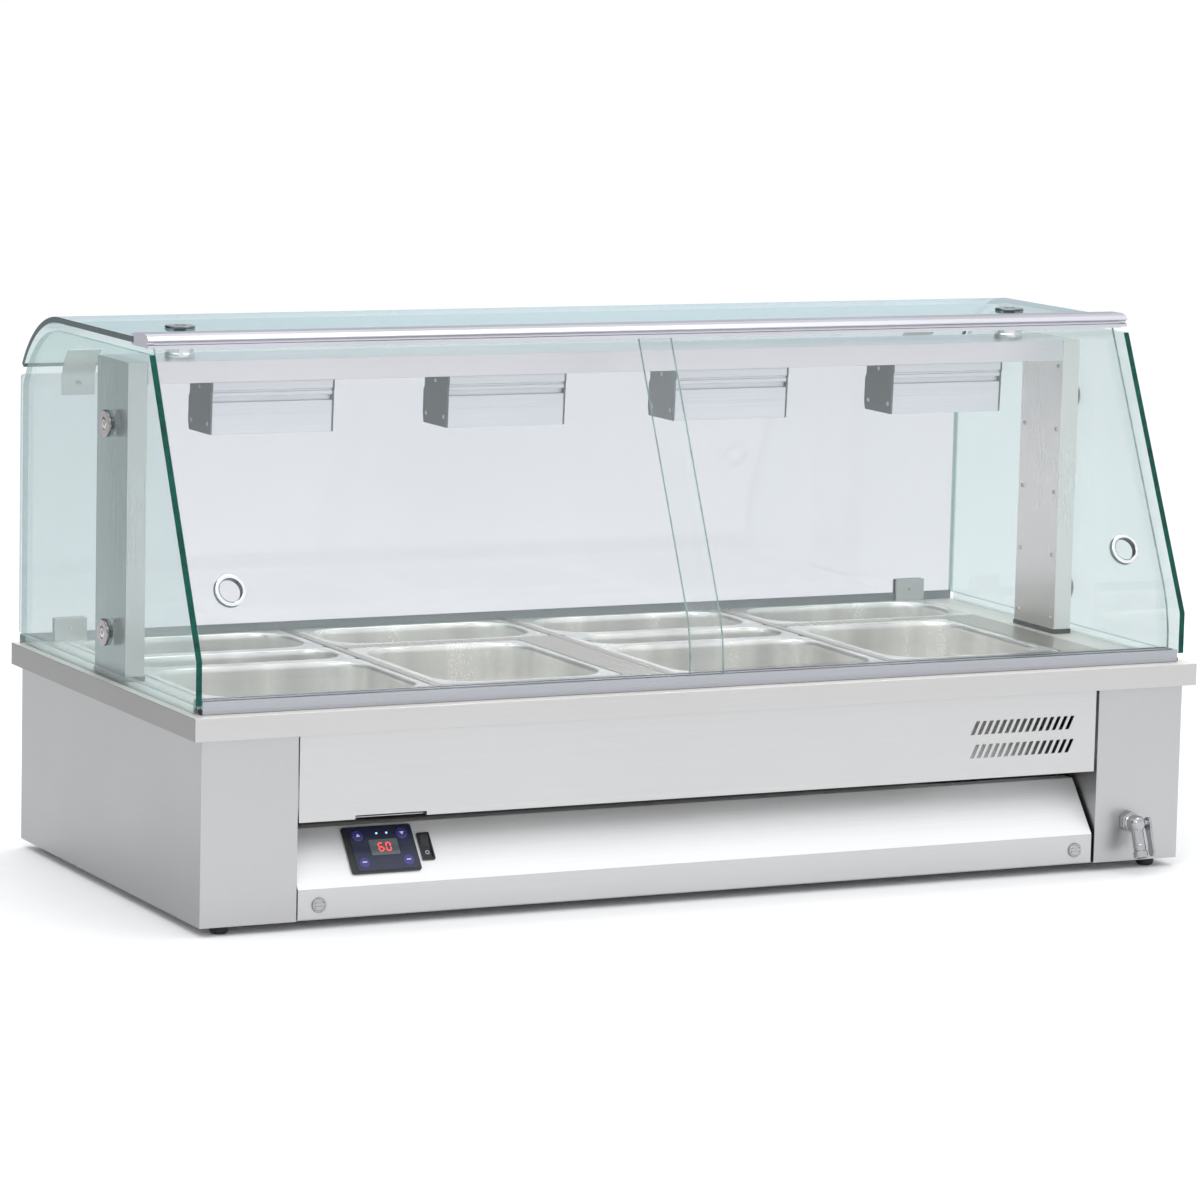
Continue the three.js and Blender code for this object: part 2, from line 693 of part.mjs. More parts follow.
// Grommet that lines a finger hole, with a flange on each face of the glass.
function doorRing(name, side) {
  const face = DOOR_GLASS / 2 + GAP;
  const profile = [
    [RING.inner, -face - 1.8],
    [RING.outer, -face - 1.8],
    [RING.outer, -face],
    [RING.sleeve, -face],
    [RING.sleeve, face],
    [RING.outer, face],
    [RING.outer, face + 1.8],
    [RING.inner, face + 1.8],
    [RING.inner, -face - 1.8],
  ];
  const centre = ringCentre(name, side);
  return turned(profile, 24).rotateX(Math.PI / 2 - LEAN).translate(centre.x, centre.y, centre.z);
}

// Rail along the canopy's front: a cap that grips the top glass, and two leaning grooves for the doors.
function topRail() {
  const under = CANOPY_TOP - TOP_GLASS - GAP;
  const over = CANOPY_TOP + GAP;
  const cap = [
    [-78, under - 2.5],
    [-78, under],
    [RAIL_SLOT_Y, under],
    [RAIL_SLOT_Y, over],
    [-78, over],
    [-78, over + 2],
    [-84, over + 4],
    [-96, over + 6],
    [-126, over + 6],
    [-133, over + 3.5],
    [-137, over - 1],
    [-137, 740],
    [-133, 738.5],
    [-133, 736],
    [-137, 734.5],
    [-137, 731],
    [-108, 731],
  ];
  const [pitch, wall, groove, depth] = [TRACK_PITCH * Math.cos(LEAN), 2, 4, 6];
  const [front, back] = [-groove - wall, pitch + groove + wall];
  const level = (a) => a * Math.tan(LEAN);
  const channel = [
    [front, level(front) - depth],
    [back, level(back) - depth],
    [back, 5],
    [front, 5],
  ];
  const grooves = [0, pitch].map((a) =>
    rectangle([a - groove, a + groove], [-depth - 10, level(a) + 2.5]),
  );
  const doorTopY = OUTER_TRACK + (DOOR_TOP - GLASS_KNEE_Z) * Math.tan(LEAN);
  const placed = (outline, span) =>
    alongX(outline, span).rotateX(-LEAN).translate(0, doorTopY, DOOR_TOP);
  const inner = END_GLASS_X[0] - 1.5;
  return shaped(
    [alongX(cap, [-END_GLASS_X[1], END_GLASS_X[1]]), placed(channel, [-inner, inner])],
    grooves.map((outline) => placed(outline, [-inner - 1, inner + 1])),
  );
}

// Twin-groove track on the worktop that the doors stand in.
function bottomTrack() {
  const inner = END_GLASS_X[0] - 1.5;
  const groove = 4;
  const wall = TRACK_PITCH - 2 * groove;
  const front = OUTER_TRACK - groove - wall / 2;
  const back = OUTER_TRACK + TRACK_PITCH + groove + wall / 2;
  const bar = block([-inner, inner], [front, back], [WORKTOP_TOP + GAP, WORKTOP_TOP + 17]);
  const grooves = [OUTER_TRACK, OUTER_TRACK + TRACK_PITCH].map((y) =>
    block([-inner - 1, inner + 1], [y - groove, y + groove], [WORKTOP_TOP + 2.5, WORKTOP_TOP + 30]),
  );
  return shaped([bar], grooves);
}

// Spacer between an upright and the end glass, with its clamping disc outside the glass.
function standoff(side, z) {
  const { disc, stem, y } = STANDOFF;
  const [inner, outer] = END_GLASS_X;
  const profile = [
    [0, UPRIGHT_X[1] + GAP],
    [disc, UPRIGHT_X[1] + GAP],
    [disc, inner - GAP],
    [stem, inner - GAP],
    [stem, outer + GAP],
    [disc, outer + GAP],
    [disc, outer + 3.6],
    [disc - 1.5, outer + 4.6],
    [0, outer + 4.6],
  ];
  return turned(profile).rotateY((side * Math.PI) / 2).translate(0, y, z);
}

// Post between the gantry and the top glass, with its clamping disc above the glass.
function topFixing(side) {
  const { disc, stem, x, y } = TOP_FIXING;
  const under = CANOPY_TOP - TOP_GLASS - GAP;
  const over = CANOPY_TOP + GAP;
  const profile = [
    [0, GANTRY_Z[1] + GAP],
    [disc, GANTRY_Z[1] + GAP],
    [disc, under],
    [stem, under],
    [stem, over],
    [disc, over],
    [disc, over + 2.4],
    [disc - 1.2, over + 3.4],
    [0, over + 3.4],
  ];
  return turned(profile).translate(side * x, y, 0);
}

// Channel bracket that the rear glass stands in.
function rearBracket(side) {
  const span = onSide(side, [635, 682]);
  const [y0, y1] = REAR_GLASS_Y;
  const outer = block(span, [y0 - 3.2, y1 + 2.4], [WORKTOP_TOP + GAP, WORKTOP_TOP + 32]);
  const slot = block([span[0] - 1, span[1] + 1], [y0 - GAP, y1 + GAP], [GLASS_BOTTOM - 1, WORKTOP_TOP + 50]);
  return shaped([outer], [slot]);
}

// ---- putting it together ----

function addBase() {
  SIDES.forEach(([name, side]) => addPart(`side_panel_${name}`, "steel", sidePanel(side)));
  addPart("base_floor", "steel", baseFloor());
  addPart("rear_panel", "steel", rearPanel());
  addPart("cable_gland", "plastic", cableGland());
  addPart("front_upper_panel", "steel", frontUpperPanel());
  addPart("control_panel", "steel", controlPanel());
  SIDES.forEach(([name, side]) => {
    addPart(`foot_front_${name}`, "rubber", foot()).position.set(side * 690, -300, 0);
    addPart(`foot_rear_${name}`, "rubber", foot()).position.set(side * 690, 300, 0);
  });
}

function addControls() {
  addPart("temperature_controller", "plastic", controller());
  addPart("power_rocker", "plastic", rocker());
  SIDES.forEach(([name, side]) => addPart(`panel_latch_${name}`, "chrome", latch(side)));
  addPart("drain_valve", "chrome", drainValve());
  addPart("drain_valve_lever", "chrome", valveHandle());
}

function addWell() {
  addPart("worktop", "steel", worktop());
  addPart("well_tank", "bright", wellTank());
  addPart("heating_element", "steel", heatingElement());
  [-1, 0, 1].forEach((i) => addPart(`crossbar_${i + 2}`, "steel", crossbar(i * COLUMN_PITCH)));
}

function addPans() {
  for (let column = 1; column <= 4; column += 1) {
    const centre = (column - 2.5) * COLUMN_PITCH;
    const span = [centre - PAN_LONG / 2, centre + PAN_LONG / 2];
    addPart(`pan_back_${column}`, "bright", pan(span, BACK_ROW));
    if (column % 2 === 1) {
      addPart(`pan_middle_${column}`, "bright", pan(span, MIDDLE_ROW));
      addPart(`pan_front_${column}`, "bright", pan(span, FRONT_ROW));
    } else {
      addPart(`pan_front_${column}`, "bright", pan([span[0], span[0] + PAN_HALF], TURNED_ROW));
      addPart(`adaptor_plate_${column}`, "steel", adaptorPlate(centre));
    }
  }
}

function addGantry() {
  SIDES.forEach(([name, side]) => addPart(`upright_${name}`, "steel", upright(side)));
  addPart("gantry_beam", "steel", gantryBeam());
  for (let i = 1; i <= 4; i += 1) {
    addPart(`lamp_housing_${i}`, "aluminium", lampHousing((i - 2.5) * COLUMN_PITCH));
  }
}

function addCanopy() {
  addPart("top_glass", "glass", topGlass());
  addPart("rear_glass", "glass", rearGlass());
  addPart("top_rail", "aluminium", topRail());
  addPart("door_track", "aluminium", bottomTrack());
  SIDES.forEach(([name, side]) => {
    addPart(`end_glass_${name}`, "glass", endGlass(side));
    addPart(`door_${name}`, "glass", door(name, side));
    addPart(`door_ring_${name}`, "chrome", doorRing(name, side));
    addPart(`standoff_lower_${name}`, "chrome", standoff(side, STANDOFF.z[0]));
    addPart(`standoff_upper_${name}`, "chrome", standoff(side, STANDOFF.z[1]));
    addPart(`top_fixing_${name}`, "chrome", topFixing(side));
    addPart(`rear_glass_bracket_${name}`, "steel", rearBracket(side));
  });
}

addBase();
addControls();
addWell();
addPans();
addGantry();
addCanopy();

// The drain valve stands out in front, so the whole is moved back to centre its bounding box.
const bounds = new THREE.Box3().setFromObject(assembly);
assembly.position.y = -(bounds.min.y + bounds.max.y) / 2;

export default root;
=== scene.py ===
# Looks for the hot food display case. Sizes are in millimetres until a mesh is made.
import json
import math

import bmesh
import bpy
from mathutils import Matrix, Vector
from mathutils.geometry import tessellate_polygon


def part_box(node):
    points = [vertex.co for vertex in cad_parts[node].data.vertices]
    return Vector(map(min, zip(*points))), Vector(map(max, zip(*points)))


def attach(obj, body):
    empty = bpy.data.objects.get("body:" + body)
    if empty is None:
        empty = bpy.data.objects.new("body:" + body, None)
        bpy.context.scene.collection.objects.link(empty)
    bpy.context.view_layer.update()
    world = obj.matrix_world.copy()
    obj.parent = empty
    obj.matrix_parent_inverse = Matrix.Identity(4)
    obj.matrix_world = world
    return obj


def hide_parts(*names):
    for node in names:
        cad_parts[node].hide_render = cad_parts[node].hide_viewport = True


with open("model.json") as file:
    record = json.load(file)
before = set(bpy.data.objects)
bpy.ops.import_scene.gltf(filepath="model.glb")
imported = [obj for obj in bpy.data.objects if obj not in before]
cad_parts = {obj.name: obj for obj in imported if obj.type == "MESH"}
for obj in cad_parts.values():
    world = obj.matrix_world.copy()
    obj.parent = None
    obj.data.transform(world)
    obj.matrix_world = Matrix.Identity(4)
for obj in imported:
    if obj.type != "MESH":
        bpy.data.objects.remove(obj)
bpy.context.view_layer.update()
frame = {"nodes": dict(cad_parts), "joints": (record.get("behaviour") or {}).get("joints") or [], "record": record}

MM = 0.001
SIDES = (("left", -1), ("right", 1))


def cad_box(node):
    """The CAD node's lowest and highest corners, in millimetres."""
    low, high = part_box(node)
    return low / MM, high / MM


def middle(node):
    """The middle of the CAD node's box, in millimetres."""
    low, high = cad_box(node)
    return (low + high) / 2


def body_of(node):
    """The body that a CAD node belongs to."""
    return next(body for body, nodes in frame["record"]["behaviour"]["bodies"].items() if node in nodes)


def pivot(joint_name):
    """Where a joint sits, in millimetres."""
    joint = next(j for j in frame["joints"] if j["name"] == joint_name)
    return tuple(v / MM for v in joint["pos_m"])


# How far the middle of the worktop lies from the origin, and how far the doors lean from upright.
SHIFT = middle("worktop").y
LEAN = math.radians(24.9)


# ---- mesh building ----


class Shape:
    """The vertices and faces of one piece, gathered from simple forms."""

    def __init__(self):
        self.verts = []
        self.faces = []
        self.slots = []

    def add(self, verts, faces, slot=0, place=None):
        """Faces over new vertices, with their material's number and a placement."""
        start = len(self.verts)
        place = place or Matrix.Identity(4)
        self.verts += [place @ Vector(v) for v in verts]
        self.faces += [[start + i for i in face] for face in faces]
        self.slots += [slot] * len(faces)
        return self

    def block(self, low, high):
        """A box between its lowest and highest corners."""
        corners = [(x, y, z) for z in (low[2], high[2]) for y in (low[1], high[1]) for x in (low[0], high[0])]
        faces = [(0, 2, 3, 1), (4, 5, 7, 6), (0, 1, 5, 4), (2, 6, 7, 3), (0, 4, 6, 2), (1, 3, 7, 5)]
        return self.add(corners, faces)

    def prism(self, outline, span, slot=0, place=None, axis="x"):
        """An outline extruded along an axis; the outline's two coordinates are the other two axes."""
        order = {
            "x": lambda a, b, t: (t, a, b),
            "y": lambda a, b, t: (a, t, b),
            "z": lambda a, b, t: (a, b, t),
        }
        count = len(outline)
        verts = [order[axis](a, b, t) for t in span for a, b in outline]
        walls = [(i, (i + 1) % count, count + (i + 1) % count, count + i) for i in range(count)]
        caps = [tuple(reversed(range(count))), tuple(range(count, 2 * count))]
        return self.add(verts, walls + caps, slot, place)

    def lathe(self, profile, sides=48, slot=0, place=None):
        """A profile of (radius, height) points turned about Z."""
        closed = profile[0] == profile[-1]
        points = profile[:-1] if closed else profile
        verts = []
        rings = []
        for radius, height in points:
            if radius < 1e-6:
                rings.append([len(verts)] * sides)
                verts.append((0, 0, height))
                continue
            rings.append(list(range(len(verts), len(verts) + sides)))
            turns = [2 * math.pi * i / sides for i in range(sides)]
            verts += [(radius * math.cos(a), radius * math.sin(a), height) for a in turns]
        pairs = list(zip(rings, rings[1:] + rings[:1]))
        faces = []
        for lower, upper in pairs if closed else pairs[:-1]:
            for i in range(sides):
                j = (i + 1) % sides
                quad = (lower[i], lower[j], upper[j], upper[i])
                faces.append(tuple(dict.fromkeys(quad)))
        return self.add(verts, [f for f in faces if len(f) > 2], slot, place)

    def rings(self, loops, slot=0, cap_last=False):
        """Quads between closed loops that have the same number of points."""
        count = len(loops[0])
        verts = [p for loop in loops for p in loop]
        faces = []
        for k in range(len(loops) - 1):
            for i in range(count):
                j = (i + 1) % count
                faces.append((k * count + i, k * count + j, (k + 1) * count + j, (k + 1) * count + i))
        if cap_last:
            faces.append(tuple(range((len(loops) - 1) * count, len(loops) * count)))
        return self.add(verts, faces, slot)

    def tube(self, path, radius, sides=16, slot=0):
        """A round bar along a path of points."""
        points = [Vector(p) for p in path]
        loops = []
        side = None
        for i, point in enumerate(points):
            along = (points[min(i + 1, len(points) - 1)] - points[max(i - 1, 0)]).normalized()
            side = along.orthogonal() if side is None else side - along * side.dot(along)
            side.normalize()
            other = along.cross(side)
            turns = [2 * math.pi * k / sides for k in range(sides)]
            loops.append([point + radius * (math.cos(a) * side + math.sin(a) * other) for a in turns])
        start = len(self.verts)
        self.rings(loops, slot)
        last = start + (len(loops) - 1) * sides
        self.faces += [list(reversed(range(start, start + sides))), list(range(last, last + sides))]
        self.slots += [slot, slot]
        return self

    def sheet(self, outline, holes, surface, slot=0):
        """A flat outline with holes, filled, each of its points mapped to space by surface."""
        loops = [outline] + holes
        flat = [p for loop in loops for p in loop]
        triangles = tessellate_polygon([[Vector((a, b, 0)) for a, b in loop] for loop in loops])
        return self.add([surface(a, b) for a, b in flat], [tuple(t) for t in triangles], slot)


def arc(centre, radius, start, end, steps):
    """The points of an arc between two angles in degrees."""
    turns = [math.radians(start + (end - start) * i / steps) for i in range(steps + 1)]
    return [(centre[0] + radius * math.cos(a), centre[1] + radius * math.sin(a)) for a in turns]


def circle(centre, radius, steps=48):
    return arc(centre, radius, 0, 360, steps)[:-1]


def rounded(low, high, radius, steps=8):
    """A rectangle with round corners, from its lowest and highest corners."""
    (x0, y0), (x1, y1) = low, high
    corners = (((x1 - radius, y0 + radius), -90), ((x1 - radius, y1 - radius), 0),
               ((x0 + radius, y1 - radius), 90), ((x0 + radius, y0 + radius), 180))
    return [p for centre, start in corners for p in arc(centre, radius, start, start + 90, steps)]


def facing(direction, origin=(0, 0, 0)):
    """A placement that turns +Z to a direction and moves the origin to a point."""
    turn = Vector(direction).to_track_quat("Z", "Y").to_matrix().to_4x4()
    return Matrix.Translation(Vector(origin)) @ turn


# Edges that turn by more than this many degrees are rounded and shaded sharp.
SHARP = 35


def bevel(obj, width):
    modifier = obj.modifiers.new("bevel", "BEVEL")
    modifier.width = width * MM
    modifier.segments = 2
    modifier.limit_method = "ANGLE"
    modifier.angle_limit = math.radians(SHARP)


def settle(obj, angle):
    """Applies the modifiers, then shades the mesh smooth between its sharp edges."""
    graph = bpy.context.evaluated_depsgraph_get()
    obj.data = bpy.data.meshes.new_from_object(obj.evaluated_get(graph))
    obj.modifiers.clear()
    obj.data.shade_smooth()
    obj.data.set_sharp_from_angle(angle=math.radians(angle))
    weighted = obj.modifiers.new("normals", "WEIGHTED_NORMAL")
    weighted.keep_sharp = True
    weighted.weight = 100


def piece(name, shape, materials, body, slot, replaces=None, edge=0.0, shell=0.0, offset=0.0, angle=SHARP):
    """Makes a piece from a shape, riding on a body, in place of a CAD node; slot is not used.

    edge rounds its edges and shell thickens an open sheet, in millimetres.
    """
    materials = materials if isinstance(materials, (list, tuple)) else [materials]
    mesh = bpy.data.meshes.new(name)
    mesh.from_pydata([tuple(v * MM) for v in shape.verts], [], shape.faces)
    for material in materials:
        mesh.materials.append(material)
    for face, index in zip(mesh.polygons, shape.slots):
        face.material_index = index
    work = bmesh.new()
    work.from_mesh(mesh)
    bmesh.ops.remove_doubles(work, verts=work.verts, dist=1e-6)
    bmesh.ops.recalc_face_normals(work, faces=work.faces)
    work.to_mesh(mesh)
    work.free()
    obj = bpy.data.objects.new(name, mesh)
    bpy.context.scene.collection.objects.link(obj)
    if shell:
        modifier = obj.modifiers.new("shell", "SOLIDIFY")
        modifier.thickness = shell * MM
        modifier.offset = offset
        modifier.use_even_offset = True
        modifier.material_offset_rim = len(materials) - 1
    if edge:
        bevel(obj, edge)
    settle(obj, angle)
    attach(obj, body)
    if replaces:
        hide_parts(replaces)
    return obj


# ---- materials ----


class Nodes:
    """The emptied node tree of a material or the world, with short ways to add what they share."""

    def __init__(self, owner, output="ShaderNodeOutputMaterial"):
        self.owner = owner
        self.owner.use_nodes = True
        self.tree = self.owner.node_tree
        self.tree.nodes.clear()
        self.output = self.add(output)

    def add(self, kind, values=None, **settings):
        node = self.tree.nodes.new(kind)
        for key, value in settings.items():
            setattr(node, key, value)
        for key, value in (values or {}).items():
            node.inputs[key].default_value = value
        return node

    def link(self, source, target):
        self.tree.links.new(source, target)

    def noise(self, stretch, detail=3.0):
        """Noise in the object's own metres, with its frequency along each axis."""
        where = self.add("ShaderNodeTexCoord")
        mapping = self.add("ShaderNodeMapping", {"Scale": stretch})
        noise = self.add("ShaderNodeTexNoise", {"Scale": 1.0, "Detail": detail, "Roughness": 0.55})
        self.link(where.outputs["Object"], mapping.inputs["Vector"])
        self.link(mapping.outputs["Vector"], noise.inputs["Vector"])
        return noise.outputs["Fac"]

    def spread(self, factor, low, high, source=(0.3, 0.7)):
        """The factor's usual range, stretched to run from low to high."""
        ramp = self.add("ShaderNodeMapRange", {
            "From Min": source[0], "From Max": source[1], "To Min": low, "To Max": high,
        })
        self.link(factor, ramp.inputs["Value"])
        return ramp.outputs["Result"]

    def painted_side_shade(self, others, ends):
        """Painted side shade: one value on faces towards -X or +X and another on the rest."""
        where = self.add("ShaderNodeTexCoord")
        split = self.add("ShaderNodeSeparateXYZ")
        size = self.add("ShaderNodeMath", operation="ABSOLUTE")
        self.link(where.outputs["Normal"], split.inputs[0])
        self.link(split.outputs["X"], size.inputs[0])
        return self.spread(size.outputs[0], others, ends, (0.5, 0.8))

    def blend(self, factor, first, second, mode="MIX"):
        mix = self.add("ShaderNodeMix", data_type="RGBA", blend_type=mode)
        for socket, value in ((mix.inputs[0], factor), (mix.inputs[6], first), (mix.inputs[7], second)):
            if isinstance(value, bpy.types.NodeSocket):
                self.link(value, socket)
            else:
                socket.default_value = value
        return mix.outputs[2]

    def finished(self, shader):
        """Joins the last shader to the output and gives back the material or the world."""
        self.link(shader.outputs[0], self.output.inputs["Surface"])
        return self.owner


def tone(colour, factor=1.0):
    """A colour made lighter or darker, with its alpha."""
    return tuple(min(c * factor, 1.0) for c in colour) + (1.0,)


def finish(name, colour, roughness, metallic=0.0, grain=(400, 400, 400), depth=0.06, rough_depth=0.08,
           bump=0.1, cloud=(3, 3, 3), cloud_depth=0.04, ends=1.0, **sockets):
    """A surface with a fine grain and a broad cloud in its colour and roughness, and its grain in relief.

    ends is how bright its faces towards -X and +X are beside the others: painted shade on the side faces.
    """
    nodes = Nodes(bpy.data.materials.new(name))
    shader = nodes.add("ShaderNodeBsdfPrincipled", {"Metallic": metallic, **sockets})
    fine = nodes.noise(grain)
    broad = nodes.noise(cloud, detail=2.0)
    grained = nodes.blend(nodes.spread(fine, 0, 1), tone(colour, 1 - depth), tone(colour, 1 + depth))
    clouded = nodes.blend(nodes.spread(broad, 0, 1), tone((1, 1, 1), 1 - cloud_depth), tone((1, 1, 1)))
    colour_out = nodes.blend(1.0, grained, clouded, "MULTIPLY")
    # Painted shade: the faces towards -X and +X are darkened by the factor ends.
    if ends != 1.0:
        colour_out = nodes.blend(1.0, colour_out, nodes.painted_side_shade(1.0, ends), "MULTIPLY")
    nodes.link(colour_out, shader.inputs["Base Color"])
    both = nodes.add("ShaderNodeMath", operation="ADD")
    nodes.link(nodes.spread(fine, roughness - rough_depth / 2, roughness + rough_depth / 2), both.inputs[0])
    nodes.link(nodes.spread(broad, -rough_depth / 2, rough_depth / 2), both.inputs[1])
    nodes.link(both.outputs[0], shader.inputs["Roughness"])
    relief = nodes.add("ShaderNodeBump", {"Strength": bump, "Distance": 0.0003})
    nodes.link(fine, relief.inputs["Height"])
    nodes.link(relief.outputs["Normal"], shader.inputs["Normal"])
    return nodes.finished(shader)


def clear_glass(name, tint, haze, mirror_tint=(0.92, 0.98, 0.97)):
    """Clear sheet glass: what lies behind shows tinted, with sharp reflections and faint wiping marks."""
    nodes = Nodes(bpy.data.materials.new(name))
    marks = nodes.noise((2.2, 5.0, 3.0), detail=4.0)
    clear = nodes.add("ShaderNodeBsdfTransparent")
    nodes.link(nodes.blend(nodes.spread(marks, 0, 1), tone(tint), tone(tint, 0.985)), clear.inputs["Color"])
    mirror = nodes.add("ShaderNodeBsdfGlossy")
    mirror.inputs["Color"].default_value = tone(mirror_tint)
    nodes.link(nodes.spread(marks, 0.01, 0.05), mirror.inputs["Roughness"])
    film = nodes.add("ShaderNodeBsdfDiffuse")
    film.inputs["Color"].default_value = (0.72, 0.9, 0.87, 1)
    hazy = nodes.add("ShaderNodeMixShader", {0: haze})
    nodes.link(clear.outputs[0], hazy.inputs[1])
    nodes.link(film.outputs[0], hazy.inputs[2])
    grazing = nodes.add("ShaderNodeLayerWeight", {"Blend": 0.5})
    rise = nodes.add("ShaderNodeMath", {1: 5.0}, operation="POWER")
    share = nodes.add("ShaderNodeMath", {1: 0.96, 2: 0.04}, operation="MULTIPLY_ADD")
    both = nodes.add("ShaderNodeMixShader")
    nodes.link(grazing.outputs["Facing"], rise.inputs[0])
    nodes.link(rise.outputs[0], share.inputs[0])
    nodes.link(share.outputs[0], both.inputs[0])
    nodes.link(hazy.outputs[0], both.inputs[1])
    nodes.link(mirror.outputs[0], both.inputs[2])
    return nodes.finished(both)


def glow(name, colour, strength):
    """A lit segment or lamp whose light is slightly uneven."""
    nodes = Nodes(bpy.data.materials.new(name))
    shader = nodes.add("ShaderNodeBsdfPrincipled", {"Roughness": 0.4, "Emission Strength": strength})
    patches = nodes.noise((300, 300, 300))
    colours = nodes.blend(nodes.spread(patches, 0, 1), tone(colour, 0.85), tone(colour))
    nodes.link(colours, shader.inputs["Base Color"])
    nodes.link(colours, shader.inputs["Emission Color"])
    return nodes.finished(shader)


ALONG_X = (5, 520, 520)
ALONG_Y = (520, 5, 520)
ALONG_Z = (520, 520, 5)
EVEN = (900, 900, 900)

STEEL = finish("steel_brushed_x", (0.56, 0.565, 0.565), 0.34, 1, ALONG_X, 0.02, 0.06, 0.04)
# Painted shade: the worktop's faces towards -X and +X are darkened by ends.
STEEL_TOP = finish("steel_worktop", (0.54, 0.535, 0.525), 0.32, 0.75, ALONG_X, 0.02, 0.06, 0.04, ends=0.42)
# Painted light: a lighter copy of the worktop steel, for its faces that look upwards.
STEEL_DECK_LIT = finish("steel_worktop_painted_light", (0.8, 0.785, 0.755), 0.4, 0.4, ALONG_X, 0.02, 0.06, 0.04,
                    **{"Specular Tint": (0.9, 0.9, 0.87, 1)})
STEEL_INNER = finish("steel_satin_y", (0.52, 0.485, 0.435), 0.3, 0.8, ALONG_Y, 0.02, 0.06, 0.04)
STEEL_BEAM = finish("steel_beam", (0.75, 0.73, 0.755), 0.36, 0.8, ALONG_X, 0.02, 0.06, 0.04)
# Painted light: a lighter, less metallic copy of the steel, for the control panel's faces that look upwards.
STEEL_PANEL_LIT = finish("steel_panel_painted_light", (0.88, 0.88, 0.875), 0.4, 0.45, ALONG_X, 0.02, 0.06, 0.04)
# Painted shade: the side panels' faces towards -X and +X are darkened by ends.
STEEL_SIDE = finish("steel_brushed_y", (0.49, 0.49, 0.49), 0.36, 1, ALONG_Y, 0.02, 0.06, 0.04, ends=0.78)
# Painted shade: the left upright's faces towards -X and +X are darkened by ends.
STEEL_UPRIGHT_SHADED = finish("steel_upright_side_shade", (0.56, 0.55, 0.545), 0.3, 1, ALONG_Z, 0.02, 0.05, 0.03, ends=0.4)
# Painted light: a lighter, warmer copy of the upright steel, for the right upright.
STEEL_UPRIGHT_LIT = finish("steel_upright_painted_light", (0.8, 0.785, 0.765), 0.3, 0.85, ALONG_Z, 0.02, 0.05, 0.03)
# Painted reflection: the broad cloud, stretched upright and deep, draws light and dark vertical bands on the pan
# walls; the near-white colour, lighter than the other steel, is painted light as well.
PAN = finish("pan_steel_painted_reflections", (1.0, 0.985, 0.955), 0.24, 0.62, (500, 700, 500), 0.01, 0.05, 0.002,
             cloud=(15, 12, 1.0), cloud_depth=0.36)
TANK = finish("tank_satin", (0.6, 0.59, 0.56), 0.36, 1, ALONG_X, 0.06, 0.12, 0.1)
DISC = finish("disc_polished", (0.3, 0.275, 0.28), 0.16, 1, EVEN, 0.05, 0.06, 0.02)
CHROME = finish("chrome_plate", (0.8, 0.81, 0.82), 0.08, 1, EVEN, 0.03, 0.05, 0.02)
NICKEL = finish("nickel_plate", (0.42, 0.42, 0.43), 0.14, 1, EVEN, 0.03, 0.05, 0.02)
TRACK = finish("aluminium_track", (0.42, 0.43, 0.46), 0.3, 1, (3, 800, 800), 0.05, 0.12, 0.12)
ALUMINIUM = finish("aluminium_drawn", (0.62, 0.62, 0.66), 0.3, 1, (3, 800, 800), 0.05, 0.12, 0.12,
                   **{"Specular Tint": (0.5, 0.5, 0.52, 1)})
CAP_GREY = finish("end_cap_grey", (0.15, 0.165, 0.175), 0.45, 0.3, (700, 700, 700), 0.08, 0.1, 0.15)
SEAL = finish("seal_grey", (0.2, 0.225, 0.24), 0.5, 0, (300, 300, 300), 0.1, 0.1, 0.1)
RUBBER = finish("rubber_black", (0.02, 0.02, 0.022), 0.7, 0, (1200, 1200, 1200), 0.25, 0.15, 0.3)
PLASTIC = finish("plastic_black", (0.016, 0.017, 0.02), 0.38, 0, (1600, 1600, 1600), 0.2, 0.1, 0.2)
HEATER = finish("heater_sheath", (0.34, 0.32, 0.29), 0.45, 1, (120, 500, 500), 0.2, 0.2, 0.15,
                cloud=(12, 12, 12), cloud_depth=0.3)
SCREW = finish("screw_steel", (0.55, 0.55, 0.54), 0.28, 1, (1500, 1500, 1500), 0.1, 0.1, 0.1)
GLASS_DOOR = clear_glass("glass_door", (0.985, 0.988, 0.99), 0.003)
GLASS_REAR = clear_glass("glass_rear", (0.85, 0.853, 0.87), 0.01)
GLASS_END = clear_glass("glass_end", (0.835, 0.882, 0.878), 0.02)
GLASS_TOP = clear_glass("glass_canopy", (0.84, 0.89, 0.89), 0.03, (0.68, 0.8, 0.83))
GLASS_EDGE_CLEAR = clear_glass("glass_edge_clear", (0.5, 0.6, 0.59), 0.1)
GLASS_EDGE = finish("glass_edge_green", (0.002, 0.075, 0.055), 0.2, 0, (90, 90, 90), 0.35, 0.08, 0.05,
                    cloud=(14, 14, 14), cloud_depth=0.3, **{"Specular IOR Level": 0.2})
GLASS_EDGE_DARK = finish("glass_edge_slate", (0.015, 0.035, 0.04), 0.2, 0, (90, 90, 90), 0.3, 0.08, 0.05,
                         **{"Specular IOR Level": 0.25})
GLASS_EDGE_PALE = finish("glass_edge_pale", (0.3, 0.42, 0.41), 0.15, 0, (90, 90, 90), 0.3, 0.08, 0.05)
LAMP = finish("lamp_extrusion", (0.73, 0.74, 0.78), 0.4, 0.55, (3, 700, 700), 0.04, 0.1, 0.1)
QUARTZ = glow("lamp_quartz_lit", (1.0, 0.93, 0.85), 34)
CERAMIC = finish("lamp_ceramic", (0.78, 0.75, 0.68), 0.6, 0, EVEN, 0.06, 0.1, 0.1)
CAP_DARK = finish("fixing_cap", (0.16, 0.18, 0.19), 0.3, 1, EVEN, 0.1, 0.1, 0.05)
